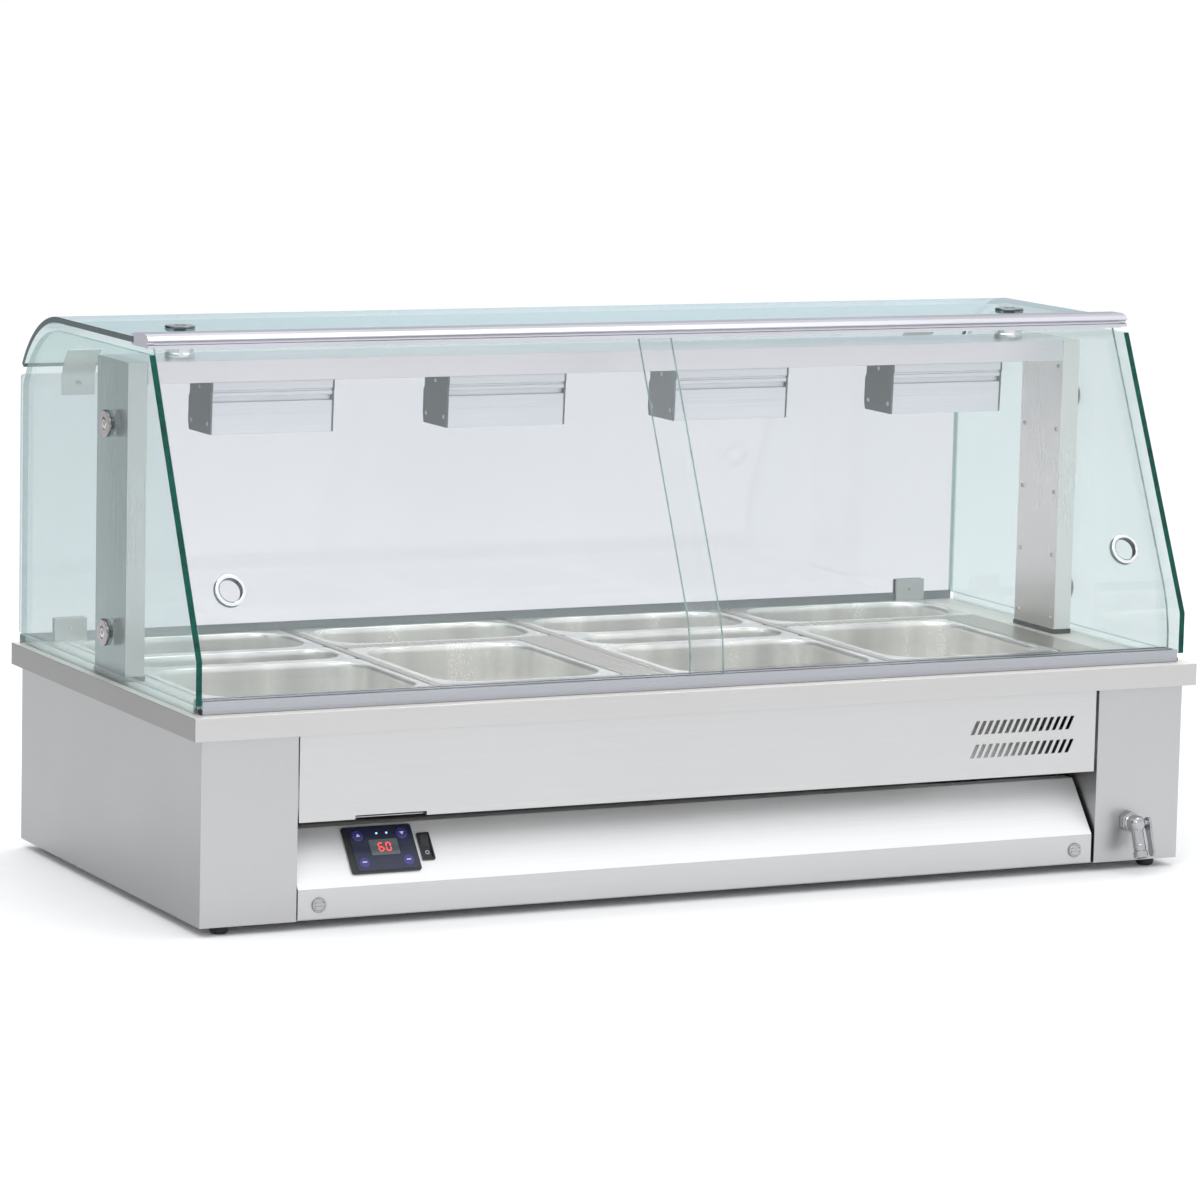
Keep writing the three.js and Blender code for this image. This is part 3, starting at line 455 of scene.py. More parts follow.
CONTROL_FACE = finish("control_membrane", (0.022, 0.026, 0.055), 0.28, 0, (1400, 1400, 1400), 0.15, 0.08,
                      0.08)
DISPLAY = finish("control_window", (0.1, 0.12, 0.13), 0.12, 0, (700, 700, 700), 0.08, 0.05, 0.02)
KEY_BLUE = finish("control_key", (0.05, 0.045, 0.22), 0.3, 0, EVEN, 0.15, 0.08, 0.06)
MARK_WHITE = finish("control_marks", (0.75, 0.76, 0.82), 0.5, 0, EVEN, 0.06, 0.08, 0.05)
LED_RED = glow("led_red", (1.0, 0.06, 0.05), 1.6)
LED_PALE = glow("led_pale", (0.5, 0.85, 1.0), 0.9)

CAD_FINISHES = {
    "base_floor": STEEL, "rear_panel": STEEL, "front_upper_panel": STEEL, "control_panel": STEEL,
    "side_panel_left": STEEL_SIDE, "side_panel_right": STEEL_SIDE,
    "worktop": STEEL_TOP, "well_tank": TANK, "adaptor_plate_2": STEEL_INNER, "adaptor_plate_4": STEEL_INNER,
    "crossbar_1": STEEL_INNER, "crossbar_2": STEEL_INNER, "crossbar_3": STEEL_INNER,
    "upright_left": STEEL_UPRIGHT_SHADED, "upright_right": STEEL_UPRIGHT_LIT, "gantry_beam": STEEL_BEAM,
    "rear_glass_bracket_left": STEEL, "rear_glass_bracket_right": STEEL,
    "door_track": TRACK, "top_rail": ALUMINIUM,
}


# The faces that look upwards get a lighter copy of their finish: painted light from overhead.
CAD_TOPS_PAINTED_LIGHT = {"worktop": STEEL_DECK_LIT, "control_panel": STEEL_PANEL_LIT}
CAD_EDGE = 0.6


def dress_cad(node, material):
    """Gives a CAD node its finish, and rounds the edges of its shown mesh."""
    obj = frame["nodes"][node]
    obj.material_slots[0].material = material
    weld = obj.modifiers.new("weld", "WELD")
    weld.merge_threshold = 1e-6
    flat = obj.modifiers.new("flat", "DECIMATE")
    flat.decimate_type = "DISSOLVE"
    flat.angle_limit = math.radians(0.5)
    bevel(obj, CAD_EDGE)


# Painted light: the faces that look upwards take the lighter finish in a second slot.
def paint_light_on_tops(node, material):
    mesh = frame["nodes"][node].data
    mesh.materials.append(material)
    for face in mesh.polygons:
        if face.normal.z > 0.3:
            face.material_index = 1


for cad_node, cad_material in CAD_FINISHES.items():
    dress_cad(cad_node, cad_material)
for cad_node, cad_material in CAD_TOPS_PAINTED_LIGHT.items():
    paint_light_on_tops(cad_node, cad_material)


# ---- pans ----

PAN_NODES = [f"pan_back_{i}" for i in range(1, 5)] + [f"pan_front_{i}" for i in range(1, 5)]
PAN_NODES += ["pan_middle_1", "pan_middle_3"]

RIM_CORNER = 12
TUB_CORNER = 52
TUB_END = 14

# The flat rim and then the tub: inset from the rim's outer edge and drop from the rim's top.
PAN_RIM = [(0.0, 1.0), (0.1, 0.3), (0.8, 0.0)]
PAN_TUB = [
    (8.8, 0.0), (9.8, 0.25), (10.8, 0.9), (11.7, 2.0), (12.4, 3.6), (12.9, 5.8), (13.2, 9.0), (13.8, 30.0),
    (14.6, 60.0), (15.4, 84.0), (16.4, 90.0), (18.4, 94.4), (21.4, 97.2), (25.4, 98.5), (30.0, 98.8),
]


def make_pan(node):
    """A pressed pan; a narrow one has round ends."""
    low, high = cad_box(node)
    corner = min(TUB_CORNER, (high.y - low.y) / 2 - TUB_END)
    shape = Shape()
    loops = []
    for inset, drop in PAN_RIM + PAN_TUB:
        radius = RIM_CORNER if (inset, drop) in PAN_RIM else corner + RIM_CORNER - inset
        outline = rounded((low.x + inset, low.y + inset), (high.x - inset, high.y - inset), radius, 12)
        loops.append([(x, y, high.z - drop) for x, y in outline])
    shape.rings(loops, cap_last=True)
    piece(f"{node}_shell", shape, PAN, node, "pan_steel", node, shell=0.9, offset=-1, angle=50)


for pan_node in PAN_NODES:
    make_pan(pan_node)


# ---- glass canopy ----

# The height where the doors bend, and the curve at the rear of the top glass in the side plane.
KNEE_Z = 352
CURVE_CENTRE = (190 + SHIFT, 578)
CURVE_SWEEP = 57.3
TOP_GLASS = 8
DOOR_GLASS = 5
DOOR_BEND = 200
BOLT_HOLE = 8
FINGER_HOLE = 18


def flat_glass(node, outline, holes, surface, thickness, materials):
    """A flat pane whose outline and holes are mapped to space by surface."""
    shape = Shape().sheet(outline, holes, surface)
    body = body_of(node)
    return piece(f"{node}_pane", shape, materials, body, "canopy_glass", node, edge=0.7, shell=thickness)


def bent_glass(node, path, flat, holes, thickness, materials):
    """Glass bent along a path of the side plane, with holes of (x, along, radius) in its flat stretch."""
    low, high = cad_box(node)
    shape = Shape()
    for i, (start, end) in enumerate(zip(path, path[1:])):
        if i != flat:
            corners = [(x, y, z) for y, z in (start, end) for x in (low.x, high.x)]
            shape.add(corners, [(0, 1, 3, 2)])
            continue
        length = math.dist(start, end)
        rise = Vector((0, end[0] - start[0], end[1] - start[1])) / length
        base = Vector((0, *start))
        outline = [(low.x, 0), (high.x, 0), (high.x, length), (low.x, length)]
        rims = [circle((x, along), radius) for x, along, radius in holes]
        shape.sheet(outline, rims, lambda a, b: Vector((a, 0, 0)) + base + rise * b)
    body = body_of(node)
    piece(f"{node}_pane", shape, materials, body, "canopy_glass", node, edge=0.6, shell=thickness, angle=20)


def make_end_glass(name):
    """End pane, whose front edge is deep green and whose other edges are clear."""
    node = f"end_glass_{name}"
    low, high = cad_box(node)
    x = (low.x + high.x) / 2
    sweep = math.degrees(math.asin((high.y - CURVE_CENTRE[0]) / (high.z - CURVE_CENTRE[1])))
    front_top = low.y + (high.z - KNEE_Z) * math.tan(LEAN)
    outline = [(low.y, low.z), (low.y, KNEE_Z), (front_top, high.z)]
    outline += arc(CURVE_CENTRE, high.z - CURVE_CENTRE[1], 90, 90 - sweep, 24)
    outline.append((high.y, low.z))
    centres = [middle(f"standoff_{level}_{name}") for level in ("lower", "upper")]
    holes = [circle((c.y, c.z), BOLT_HOLE) for c in centres]
    finishes = [GLASS_END, GLASS_EDGE_CLEAR, GLASS_EDGE]
    pane = flat_glass(node, outline, holes, lambda a, b: (x, a, b), high.x - low.x, finishes)
    for face in pane.data.polygons:
        if face.material_index == 2 and face.normal.y > -0.3:
            face.material_index = 1


def make_rear_glass():
    low, high = cad_box("rear_glass")
    y = (low.y + high.y) / 2
    outline = rounded((low.x, low.z), (high.x, high.z), 5)
    finishes = [GLASS_REAR, GLASS_EDGE_CLEAR]
    flat_glass("rear_glass", outline, [], lambda a, b: (a, y, b), high.y - low.y, finishes)


def make_top_glass():
    low, high = cad_box("top_glass")
    z = high.z - TOP_GLASS / 2
    path = [(low.y, z)] + arc(CURVE_CENTRE, z - CURVE_CENTRE[1], 90, 90 - CURVE_SWEEP, 28)
    fixings = [middle(f"top_fixing_{name}") for name, _ in SIDES]
    holes = [(c.x, c.y - low.y, BOLT_HOLE) for c in fixings]
    bent_glass("top_glass", path, 0, holes, TOP_GLASS, [GLASS_TOP, GLASS_EDGE_DARK])


def make_door(name):
    """Sliding door: upright in its track, then bent back towards the top rail."""
    node = f"door_{name}"
    low, high = cad_box(node)
    track = low.y + DOOR_GLASS / 2
    top = high.z - DOOR_GLASS / 2 * math.sin(LEAN)
    centre = (track + DOOR_BEND, KNEE_Z - DOOR_BEND * math.tan(LEAN / 2))
    bend = arc(centre, DOOR_BEND, 180, 180 - math.degrees(LEAN), 16)
    end = (track + (top - KNEE_Z) * math.tan(LEAN), top)
    ring = middle(f"door_ring_{name}")
    hole = (ring.x, (ring.z - bend[-1][1]) / math.cos(LEAN), FINGER_HOLE)
    path = [(track, low.z)] + bend + [end]
    bent_glass(node, path, len(path) - 2, [hole], DOOR_GLASS, [GLASS_DOOR, GLASS_EDGE_PALE])


def make_door_ring(name):
    """Polished grommet with a rolled lip on each face of the glass, and a dark band round the inside of its hole.
    """
    node = f"door_ring_{name}"
    face = arc((19.4, 3.2), 1.6, 80, -10, 6)
    upper = [(16.2, 3.4), (16.3, 4.5), (16.8, 4.9), (18.2, 4.8)] + face + [(21.0, 2.8), (17.4, 2.8)]
    lower = [(r, -h) for r, h in reversed(upper)]
    place = Matrix.Translation(middle(node)) @ Matrix.Rotation(math.pi / 2 - LEAN, 4, "X")
    shape = Shape().lathe(upper + lower + [upper[0]], 64, place=place)
    shape.lathe([(15.5, -4.2), (15.5, 4.2), (16.6, 4.2), (16.6, -4.2), (15.5, -4.2)], 64, 1, place)
    piece(f"{node}_trim", shape, [CHROME, CAP_DARK], f"door_{name}", "chrome", node)


def make_standoff(level, name, side):
    """Spacer inside the end glass, and the outer disc with its socket screw that clamps the glass."""
    node = f"standoff_{level}_{name}"
    low, high = cad_box(node)
    near = min(abs(low.x), abs(high.x))
    far = max(abs(low.x), abs(high.x))
    glass_in, glass_out = sorted(abs(corner.x) for corner in cad_box(f"end_glass_{name}"))
    centre = middle(node)
    place = facing((side, 0, 0), (0, centre.y, centre.z))
    shape = Shape()
    gap = 0.3
    spacer = [(0, near), (17, near), (18, near + 1), (18, glass_in - gap), (0, glass_in - gap)]
    shape.lathe(spacer, slot=1, place=place)
    stem = [(0, glass_in - 1), (6, glass_in - 1), (6, glass_out + 1), (0, glass_out + 1)]
    shape.lathe(stem, place=place)
    disc = [(0, glass_out + gap), (17.4, glass_out + gap), (18, glass_out + 1), (18, far - 1.6)]
    disc += arc((16.6, far - 1.4), 1.4, 0, 90, 5) + [(8.5, far), (8.1, far - 1.2), (0, far - 1.2)]
    shape.lathe(disc, place=place)
    screw = [(0, far - 1.6), (7, far - 1.6), (7, far - 0.6), (6.2, far - 0.1), (3.4, far - 0.1)]
    screw += [(3.2, far - 1.4), (0, far - 1.4)]
    shape.lathe(screw, slot=2, place=place)
    piece(f"{node}_disc", shape, [DISC, CAP_DARK, SCREW], "case", "chrome", node)


def make_top_fixing(name):
    """Post under the top glass, and its cap above."""
    node = f"top_fixing_{name}"
    low, high = cad_box(node)
    centre = middle(node)
    foot = low.z
    cap_top = high.z
    glass = cad_box("top_glass")[1].z
    place = Matrix.Translation((centre.x, centre.y, 0))
    shape = Shape()
    post = [(0, foot), (19.4, foot), (20, foot + 0.8), (20, foot + 6), (18.6, foot + 7.4)]
    post += [(18.6, glass - 12), (20, glass - 10.8), (20, glass - 8.3), (0, glass - 8.3)]
    shape.lathe(post, place=place)
    stem = [(0, glass - 9), (6, glass - 9), (6, glass + 1), (0, glass + 1)]
    shape.lathe(stem, place=place)
    cap = [(0, glass + 0.3), (20, glass + 0.3), (20, cap_top - 1.2), (18.8, cap_top), (8, cap_top)]
    cap += [(7.6, cap_top - 1.1), (0, cap_top - 1.1)]
    shape.lathe(cap, slot=1, place=place)
    piece(f"{node}_post", shape, [CHROME, CAP_DARK], "case", "chrome", node)


# ---- gantry and lamps ----

SCREW_HEAD = [(0, 0), (3.2, 0), (3.2, 0.8), (2.6, 1.7), (1.4, 2.0), (1.2, 1.2), (0, 1.2)]
LAMP_CAP = 3
SOCKET = 20


def lamp_outline(low, high):
    """Half of the housing's section, from the top's middle to its lower front edge, as (y, z)."""
    top = high.z
    front = low.y
    points = [((low.y + high.y) / 2, top), (front + 1, top), (front, top - 1), (front, top - 11)]
    points += [(front + 1, top - 12), (front + 3.2, top - 12.6), (front + 3.2, top - 14)]
    points += [(front + 1.8, top - 15), (front + 1.6, top - 17), (front + 1.8, top - 19.2)]
    points += [(front + 2.8, top - 20.4), (front + 8, top - 21), (front + 8, top - 27)]
    points += [(front + 2.8, top - 27.6), (front + 2.4, top - 28.2), (front + 2.4, top - 44)]
    return points + [(front + 2.9, top - 44.5), (front + 3.6, low.z + 1.4), (front + 4.2, low.z)]


def lamp_cap_outline(low, high):
    """The end cap's outline as (y, z), with a step at its upper rear corner."""
    return [
        (low.y + 4, low.z), (high.y - 3, low.z), (high.y, low.z + 12), (high.y - 1, high.z - 26),
        (high.y - 5, high.z - 20), (high.y - 5, high.z), (low.y, high.z), (low.y, high.z - 12),
        (low.y + 1.6, high.z - 14), (low.y + 2, high.z - 30),
    ]


def make_lamp(number):
    """Ribbed extrusion with end caps, a bright reflector and a quartz tube in its sockets."""
    node = f"lamp_housing_{number}"
    low, high = cad_box(node)
    centre_y = (low.y + high.y) / 2
    inner = [(low.y + 6, low.z), (low.y + 6, high.z - 31), (low.y + 11, high.z - 29)]
    inner += [(low.y + 14, high.z - 23), (centre_y, high.z - 23)]
    front_half = lamp_outline(low, high) + inner
    rear_half = [(2 * centre_y - y, z) for y, z in reversed(front_half)]
    span = (low.x + LAMP_CAP, high.x - LAMP_CAP)
    shape = Shape()
    shape.prism(front_half, span)
    shape.prism(rear_half, span)
    piece(f"{node}_extrusion", shape, LAMP, "case", "aluminium", node, edge=0.25)
    ends = Shape()
    for x0, x1 in ((low.x, low.x + LAMP_CAP), (high.x - LAMP_CAP, high.x)):
        ends.prism(lamp_cap_outline(low, high), (x0, x1))
    for x, way in ((low.x, -1), (high.x, 1)):
        for y, z in ((low.y + 12, low.z + 14), (high.y - 12, low.z + 14), (centre_y, high.z - 9)):
            ends.lathe(SCREW_HEAD, 20, 1, facing((way, 0, 0), (x - way * 0.9, y, z)))
    piece(f"{node}_end_caps", ends, [CAP_GREY, SCREW], "case", "aluminium", edge=0.5)
    tube = Shape()
    axis = (centre_y, low.z + 26)
    length = high.x - low.x - 2 * SOCKET
    glass = [(0, 0), (5, 0), (5.4, 4), (5.4, length - 4), (5, length), (0, length)]
    tube.lathe(glass, 24, 0, facing((1, 0, 0), (low.x + SOCKET, *axis)))
    socket = rounded((axis[0] - 9, axis[1] - 8), (axis[0] + 9, axis[1] + 10), 2, 3)
    for x0 in (low.x + LAMP_CAP + 1, high.x - LAMP_CAP - 1 - SOCKET):
        tube.prism(socket, (x0, x0 + SOCKET), 1)
    piece(f"{node}_quartz_tube", tube, [QUARTZ, CERAMIC], "case", "aluminium", edge=0.3)
    curve = [(y, low.z + 20 + z * 0.55) for y, z in arc((centre_y, 0), 30, 15, 165, 14)]
    reflector = Shape()
    for ends_of_strip in zip(curve, curve[1:]):
        corners = [(x, y, z) for y, z in ends_of_strip for x in (span[0] + 1, span[1] - 1)]
        reflector.add(corners, [(0, 1, 3, 2)])
    piece(f"{node}_reflector", reflector, PAN, "case", "aluminium", shell=0.6)


def make_screws(name, places):
    """Pan-head screws on the case: each place is a point on a face and the face's outward direction."""
    shape = Shape()
    for point, outward in places:
        shape.lathe(SCREW_HEAD, 20, 0, facing(outward, point))
    piece(name, shape, SCREW, "case", "chrome")


def make_upright_details(name, side):
    """The pad under an upright, and the rivets on its inner face."""
    low, high = cad_box(f"upright_{name}")
    outline = rounded((low.x - 1.5, low.y - 1.5), (high.x + 1.5, high.y + 1.5), 3, 4)
    shape = Shape().prism(outline, (low.z + 0.1, low.z + 5.8), axis="z")
    piece(f"upright_{name}_pad", shape, RUBBER, "case", "foot_rubber", edge=0.6)
    inner = low.x if side > 0 else high.x
    heights = [low.z + 22 + i * (high.z - low.z - 60) / 4 for i in range(5)]
    spots = [((inner, y, z), (-side, 0, 0)) for z in heights for y in (low.y + 12, high.y - 12)]
    make_screws(f"upright_{name}_rivets", spots)


BRACKET_X = 650
BRACKET_HALF = 24


def make_upper_bracket(name, side):
    """Bent strap inside the glass, from the rear glass to the curved top glass."""
    rear = cad_box("rear_glass")[0].y
    path = [(rear - 0.4, 622), (rear - 0.4, 649)] + list(reversed(arc(CURVE_CENTRE, 155.2, 44, 33, 5)))
    shape = Shape()
    span = (side * BRACKET_X - BRACKET_HALF, side * BRACKET_X + BRACKET_HALF)
    for (y0, z0), (y1, z1) in zip(path, path[1:]):
        shape.add([(x, y, z) for y, z in ((y0, z0), (y1, z1)) for x in span], [(0, 1, 3, 2)])
    piece(f"upper_bracket_{name}", shape, STEEL, "case", "brushed_steel", shell=2.5, offset=1, edge=0.5)
    make_screws(f"upper_bracket_{name}_screws", [((side * BRACKET_X, rear - 3, 638), (0, -1, 0))])


def make_lower_bracket_details(name):
    low, high = cad_box(f"rear_glass_bracket_{name}")
    centre = (low.x + high.x) / 2
    make_screws(f"rear_glass_bracket_{name}_screw", [((centre, low.y, high.z - 14), (0, -1, 0))])


def make_seals():
    """Strips that close the gap between the worktop and the lower edges of the fixed panes."""
    deck = cad_box("worktop")[1].z
    seals = [("rear_glass", 0.5, 1.5, SEAL)]
    seals += [(f"end_glass_{name}", 1.5, 12, GLASS_END) for name, _ in SIDES]
    for node, x, y, material in seals:
        low, high = cad_box(node)
        shape = Shape().block((low.x + x, low.y + y, deck + 0.1), (high.x - x, high.y - y, low.z + 0.3))
        piece(f"{node}_seal", shape, material, "case", "foot_rubber", edge=0.8)


def make_track_end(name, side):
    """Black stop pad let into the end of the door track."""
    low, high = cad_box("door_track")
    end = side * high.x
    span = sorted((end - side * 0.5, end + side * 2.2))
    shape = Shape().block((span[0], low.y + 1.5, low.z + 0.6), (span[1], low.y + 12, low.z + 6))
    piece(f"track_end_{name}", shape, RUBBER, "case", "foot_rubber", edge=0.6)


# ---- controls ----

# The body and the slot of the plastic pieces on the control panel.
ON_PANEL = ("control_panel", "black_plastic")

# The slanted face's angle from upright.
SLANT = math.atan2(56, 69)


def on_slant(x):
    """A placement on the slanted face level with the rocker's pivot: X right, Y up the face, Z out."""
    _, y, z = pivot("power_rocker_tilt")
    turn = Matrix.Rotation(math.pi / 2 - SLANT, 4, "X")
    return Matrix.Translation((x, y, z)) @ turn


# Each bar of a digit: its middle in half widths and half heights, and whether it lies flat or stands.
SEGMENTS = {"a": ((0, 1), "h"), "g": ((0, 0), "h"), "d": ((0, -1), "h"),
            "f": ((-1, 0.5), "v"), "b": ((1, 0.5), "v"), "e": ((-1, -0.5), "v"), "c": ((1, -0.5), "v")}
DIGITS = {"0": "abcdef", "6": "acdefg"}


def digit(shape, lit, centre, place, slot):
    """A seven-segment digit of bevel-ended bars."""
    half_w = 3.1
    half_h = 5.6
    bar = 0.75
    for key in lit:
        (u, v), way = SEGMENTS[key]
        cx = centre[0] + u * half_w * 0.98
        cy = centre[1] + v * half_h
        reach = (half_w if way == "h" else half_h / 2) - 0.5
        ends = [(-reach, 0), (-reach + bar, -bar), (reach - bar, -bar)]
        ends += [(reach, 0), (reach - bar, bar), (-reach + bar, bar)]
        outline = [(cx + a, cy + b) if way == "h" else (cx + b, cy + a) for a, b in ends]
        shape.prism(outline, (5.3, 5.5), slot, place, "z")


MARK_UP = [(-3, -1.8), (3, -1.8), (0, 2.6)]
MARK_DOWN = [(0, -2.6), (3, 1.8), (-3, 1.8)]
MARK_DASH = [(-3, -0.7), (3, -0.7), (3, 0.7), (-3, 0.7)]
KEYS = (((-29, 20), MARK_UP), ((33, 20), MARK_DOWN), ((-29, -19), MARK_DASH), ((33, -19), MARK_DASH))


def make_controller():
    """Bezel, membrane, display window with its digits, four marked keys and two lights."""
    node = "temperature_controller"
    low, high = cad_box(node)
    half = (high.x - low.x) / 2
    tall = 34
    place = on_slant((low.x + high.x) / 2)
    bezel = Shape()
    bezel.prism(rounded((-half, -tall), (half, tall), 4), (0.3, 3.6), 0, place, "z")
    bezel.prism(rounded((-half + 5, -tall + 5), (half - 5, tall - 5), 2), (-36, 0.6), 0, place, "z")
    piece("controller_bezel", bezel, PLASTIC, *ON_PANEL, node, edge=0.7)
    outline = rounded((-half + 8.5, -tall + 2.5), (half - 2.5, tall - 2.5), 3)
    face = Shape().prism(outline, (3.4, 4.4), 0, place, "z")
    piece("controller_face", face, CONTROL_FACE, *ON_PANEL, edge=0.3)
    window = Shape().prism(rounded((-16, -10), (24, 13), 1.5), (4.2, 5.2), 0, place, "z")
    piece("controller_display", window, DISPLAY, *ON_PANEL, edge=0.3)
    digits = Shape()
    digit(digits, DIGITS["6"], (-1, 1.5), place, 0)
    digit(digits, DIGITS["0"], (9.5, 1.5), place, 0)
    piece("controller_digits", digits, LED_RED, *ON_PANEL)
    keys = Shape()
    marks = Shape()
    for (x, y), mark in KEYS:
        centre = place @ Matrix.Translation((x, y, 4.2))
        keys.lathe([(0, 0), (7.8, 0), (7.8, 0.5), (7.1, 1.1), (0, 1.3)], 36, 0, centre)
        marks.prism(mark, (1.3, 1.6), 0, centre, "z")
    piece("controller_keys", keys, KEY_BLUE, *ON_PANEL, edge=0.2)
    piece("controller_key_marks", marks, MARK_WHITE, *ON_PANEL)
    lights = Shape()
    for x in (-2, 12):
        lens = [(0, 4.3), (1.5, 4.3), (1.3, 5.1), (0, 5.4)]
        lights.lathe(lens, 20, 0, place @ Matrix.Translation((x, 22, 0)))
    piece("controller_indicators", lights, LED_PALE, *ON_PANEL)


def make_rocker():
    """Paddle with one end proud, a bar and a ring for its marks, and the frame round it."""
    node = "power_rocker"
    low, high = cad_box(node)
    half = (high.x - low.x) / 2
    end = 16.5
    place = on_slant((low.x + high.x) / 2)
    top = []
    for i in range(25):
        y = end - 2 * end * i / 24
        slope = math.tan(math.radians(8 if y > 0 else -2))
        top.append((y, 1.6 + abs(y) * slope - 0.25 * math.cos(y / end * math.pi)))
    shape = Shape().prism([(-end, -5), (end, -5)] + top, (-half, half), 0, place)
    shape.prism([(-2.2, 8), (2.2, 8), (2.2, 9), (-2.2, 9)], (1.5, 2.62), 1, place, "z")
    shape.lathe([(2.0, 1.2), (2.8, 1.2), (2.8, 1.95), (2.0, 1.95), (2.0, 1.2)], 32, 1,
                place @ Matrix.Translation((0, -9, 0)))
    finishes = [PLASTIC, MARK_WHITE]
    piece("power_rocker_paddle", shape, finishes, "power_rocker", "rocker_plastic", node, edge=0.35)
    rim = Shape().sheet(rounded((-9, -20), (9, 20), 2), [rounded((-6.8, -17.2), (6.8, 17.2), 1)],
                        lambda a, b: place @ Vector((a, b, 1.5)))
    piece("power_rocker_frame", rim, PLASTIC, *ON_PANEL, shell=2.4, edge=0.5)


def make_latch(name):
    """Quarter-turn fastener: a domed head with a slot, its stem and its cam."""
    node = f"panel_latch_{name}"
    x, y, z = pivot(f"{node}_turn")
    place = facing((0, -1, 0), (x, y, z))
    head = Shape()
    head.lathe([(0, 0.3), (10, 0.3), (10, 1.6), (9.2, 2.9), (7.4, 3.1), (6.9, 2.2), (0, 2.2)], 48, 0, place)
    for a, b in (((-6.4, 1.0), (6.4, 3.4)), ((-6.4, -3.4), (6.4, -1.0))):
        head.prism(rounded(a, b, 1.1, 4), (2.0, 3.2), 0, place, "z")
    head.lathe([(0, 1.0), (5, 1.0), (5, -9), (0, -9)], 24, 1, place)
    tongue = [(x - 5, z - 14), (x + 5, z - 14), (x + 5, z + 5), (x - 5, z + 5)]
    head.prism(tongue, (y + 7, y + 10), 1, None, "y")
    piece(f"{node}_head", head, [NICKEL, SCREW], node, "chrome", node, edge=0.25)


# ---- drain ----

SPOUT_LEAN = math.radians(20)


def hexagon(radius):
    return arc((0, 0), radius, 30, 390, 6)[:-1]


def make_drain_valve():
    """The pipe from the well, the nut on the side panel, the valve's body and its spout."""
    _, y, z = pivot("drain_valve_turn")
    low, high = cad_box("drain_valve")
    x = (low.x + high.x) / 2
    front = cad_box("side_panel_right")[0].y
    out = facing((0, -1, 0), (x, 0, z))
    shape = Shape()
    pipe = 9
    bend = 16
    well_y = high.y - pipe
    path = [(well_y, high.z), (well_y, z + bend)] + arc((well_y - bend, z + bend), bend, 0, -90, 8)
    shape.tube([(x, b, c) for b, c in path + [(front - 18, z)]], pipe, 20, 1)
    nut = [(-front + 0.3, 13.4), (-front + 1.2, 14.5), (-front + 10.6, 14.5), (-front + 11.6, 13.4)]
    shape.rings([[out @ Vector((a, b, h)) for a, b in hexagon(r)] for h, r in nut])
    for h, r in (nut[0], nut[-1]):
        shape.sheet(hexagon(r), [], lambda a, b, h=h: out @ Vector((a, b, h)))
    ribs = [(10.4 + 0.9 * (i % 2), -front + 11 + 0.9 * i) for i in range(7)]
    shape.lathe([(0, ribs[0][1])] + ribs + [(0, ribs[-1][1])], 32, 0, out)
    body = [(0, -y - 9), (9.5, -y - 9), (11.4, -y - 6), (11.6, -y - 3), (11.6, -y + 4), (10, -y + 8)]
    body += [(7, -y + 11), (0, -y + 12)]
    shape.lathe(body, 40, 0, out)
    down = facing((0, -math.sin(SPOUT_LEAN), -math.cos(SPOUT_LEAN)), (x, y, z))
    spout = [(6.2, 2), (8.4, 4), (8.4, 30), (9.0, 31), (9.0, 33), (8.4, 34), (8.4, 38), (10, 39.4)]
    spout += [(10, 46.6), (9.2, 47.8), (6.6, 48), (6.2, 40), (6.2, 2)]
    shape.lathe(spout, 40, 0, down)
    piece("drain_valve_body", shape, [NICKEL, TANK], "case", "chrome", "drain_valve", edge=0.3, angle=30)


def make_drain_lever():
    """Flat lever beside the spout, on a pin through the valve's body."""
    node = "drain_valve_lever"
    low, high = cad_box(node)
    _, y, z = pivot("drain_valve_turn")
    turn = Matrix.Translation((0, y, z)) @ Matrix.Rotation(-SPOUT_LEAN, 4, "X")
    outline = arc((0, 0), 8, 200, -20, 12) + [(6.2, -12), (5.4, -24), (6.4, -36)]
    outline += arc((0, -40), 6.8, 10, -190, 12)
    outline += [(-6.4, -36), (-5.4, -24), (-6.2, -12)]
    shape = Shape().prism(outline, (high.x - 6, high.x - 2), 0, turn)
    pin = [(0, low.x), (4.5, low.x), (4.5, high.x - 5), (0, high.x - 5)]
    cap = [(0, high.x - 3), (3.6, high.x - 3), (3.6, high.x - 0.8), (2.8, high.x), (0, high.x)]
    shape.lathe(pin, 24, 0, turn @ facing((1, 0, 0)))
    shape.lathe(cap, 24, 1, turn @ facing((1, 0, 0)))
    piece("drain_valve_lever_plate", shape, [NICKEL, PLASTIC], "drain_valve_lever", "chrome", node, edge=0.5)


# ---- feet, gland and heater ----


def make_foot(node):
    low, high = cad_box(node)
    centre = middle(node)
    height = high.z - low.z
    profile = [(0, 0), (7, 0)] + arc((7, 5), 5, -70, -10, 8) + [(12, height - 3), (12, height - 0.6)]
    profile += [(11.4, height), (0, height)]
    shape = Shape().lathe(profile, 40, 0, Matrix.Translation((centre.x, centre.y, low.z)))
    piece(f"{node}_rubber", shape, RUBBER, "case", "foot_rubber", node)


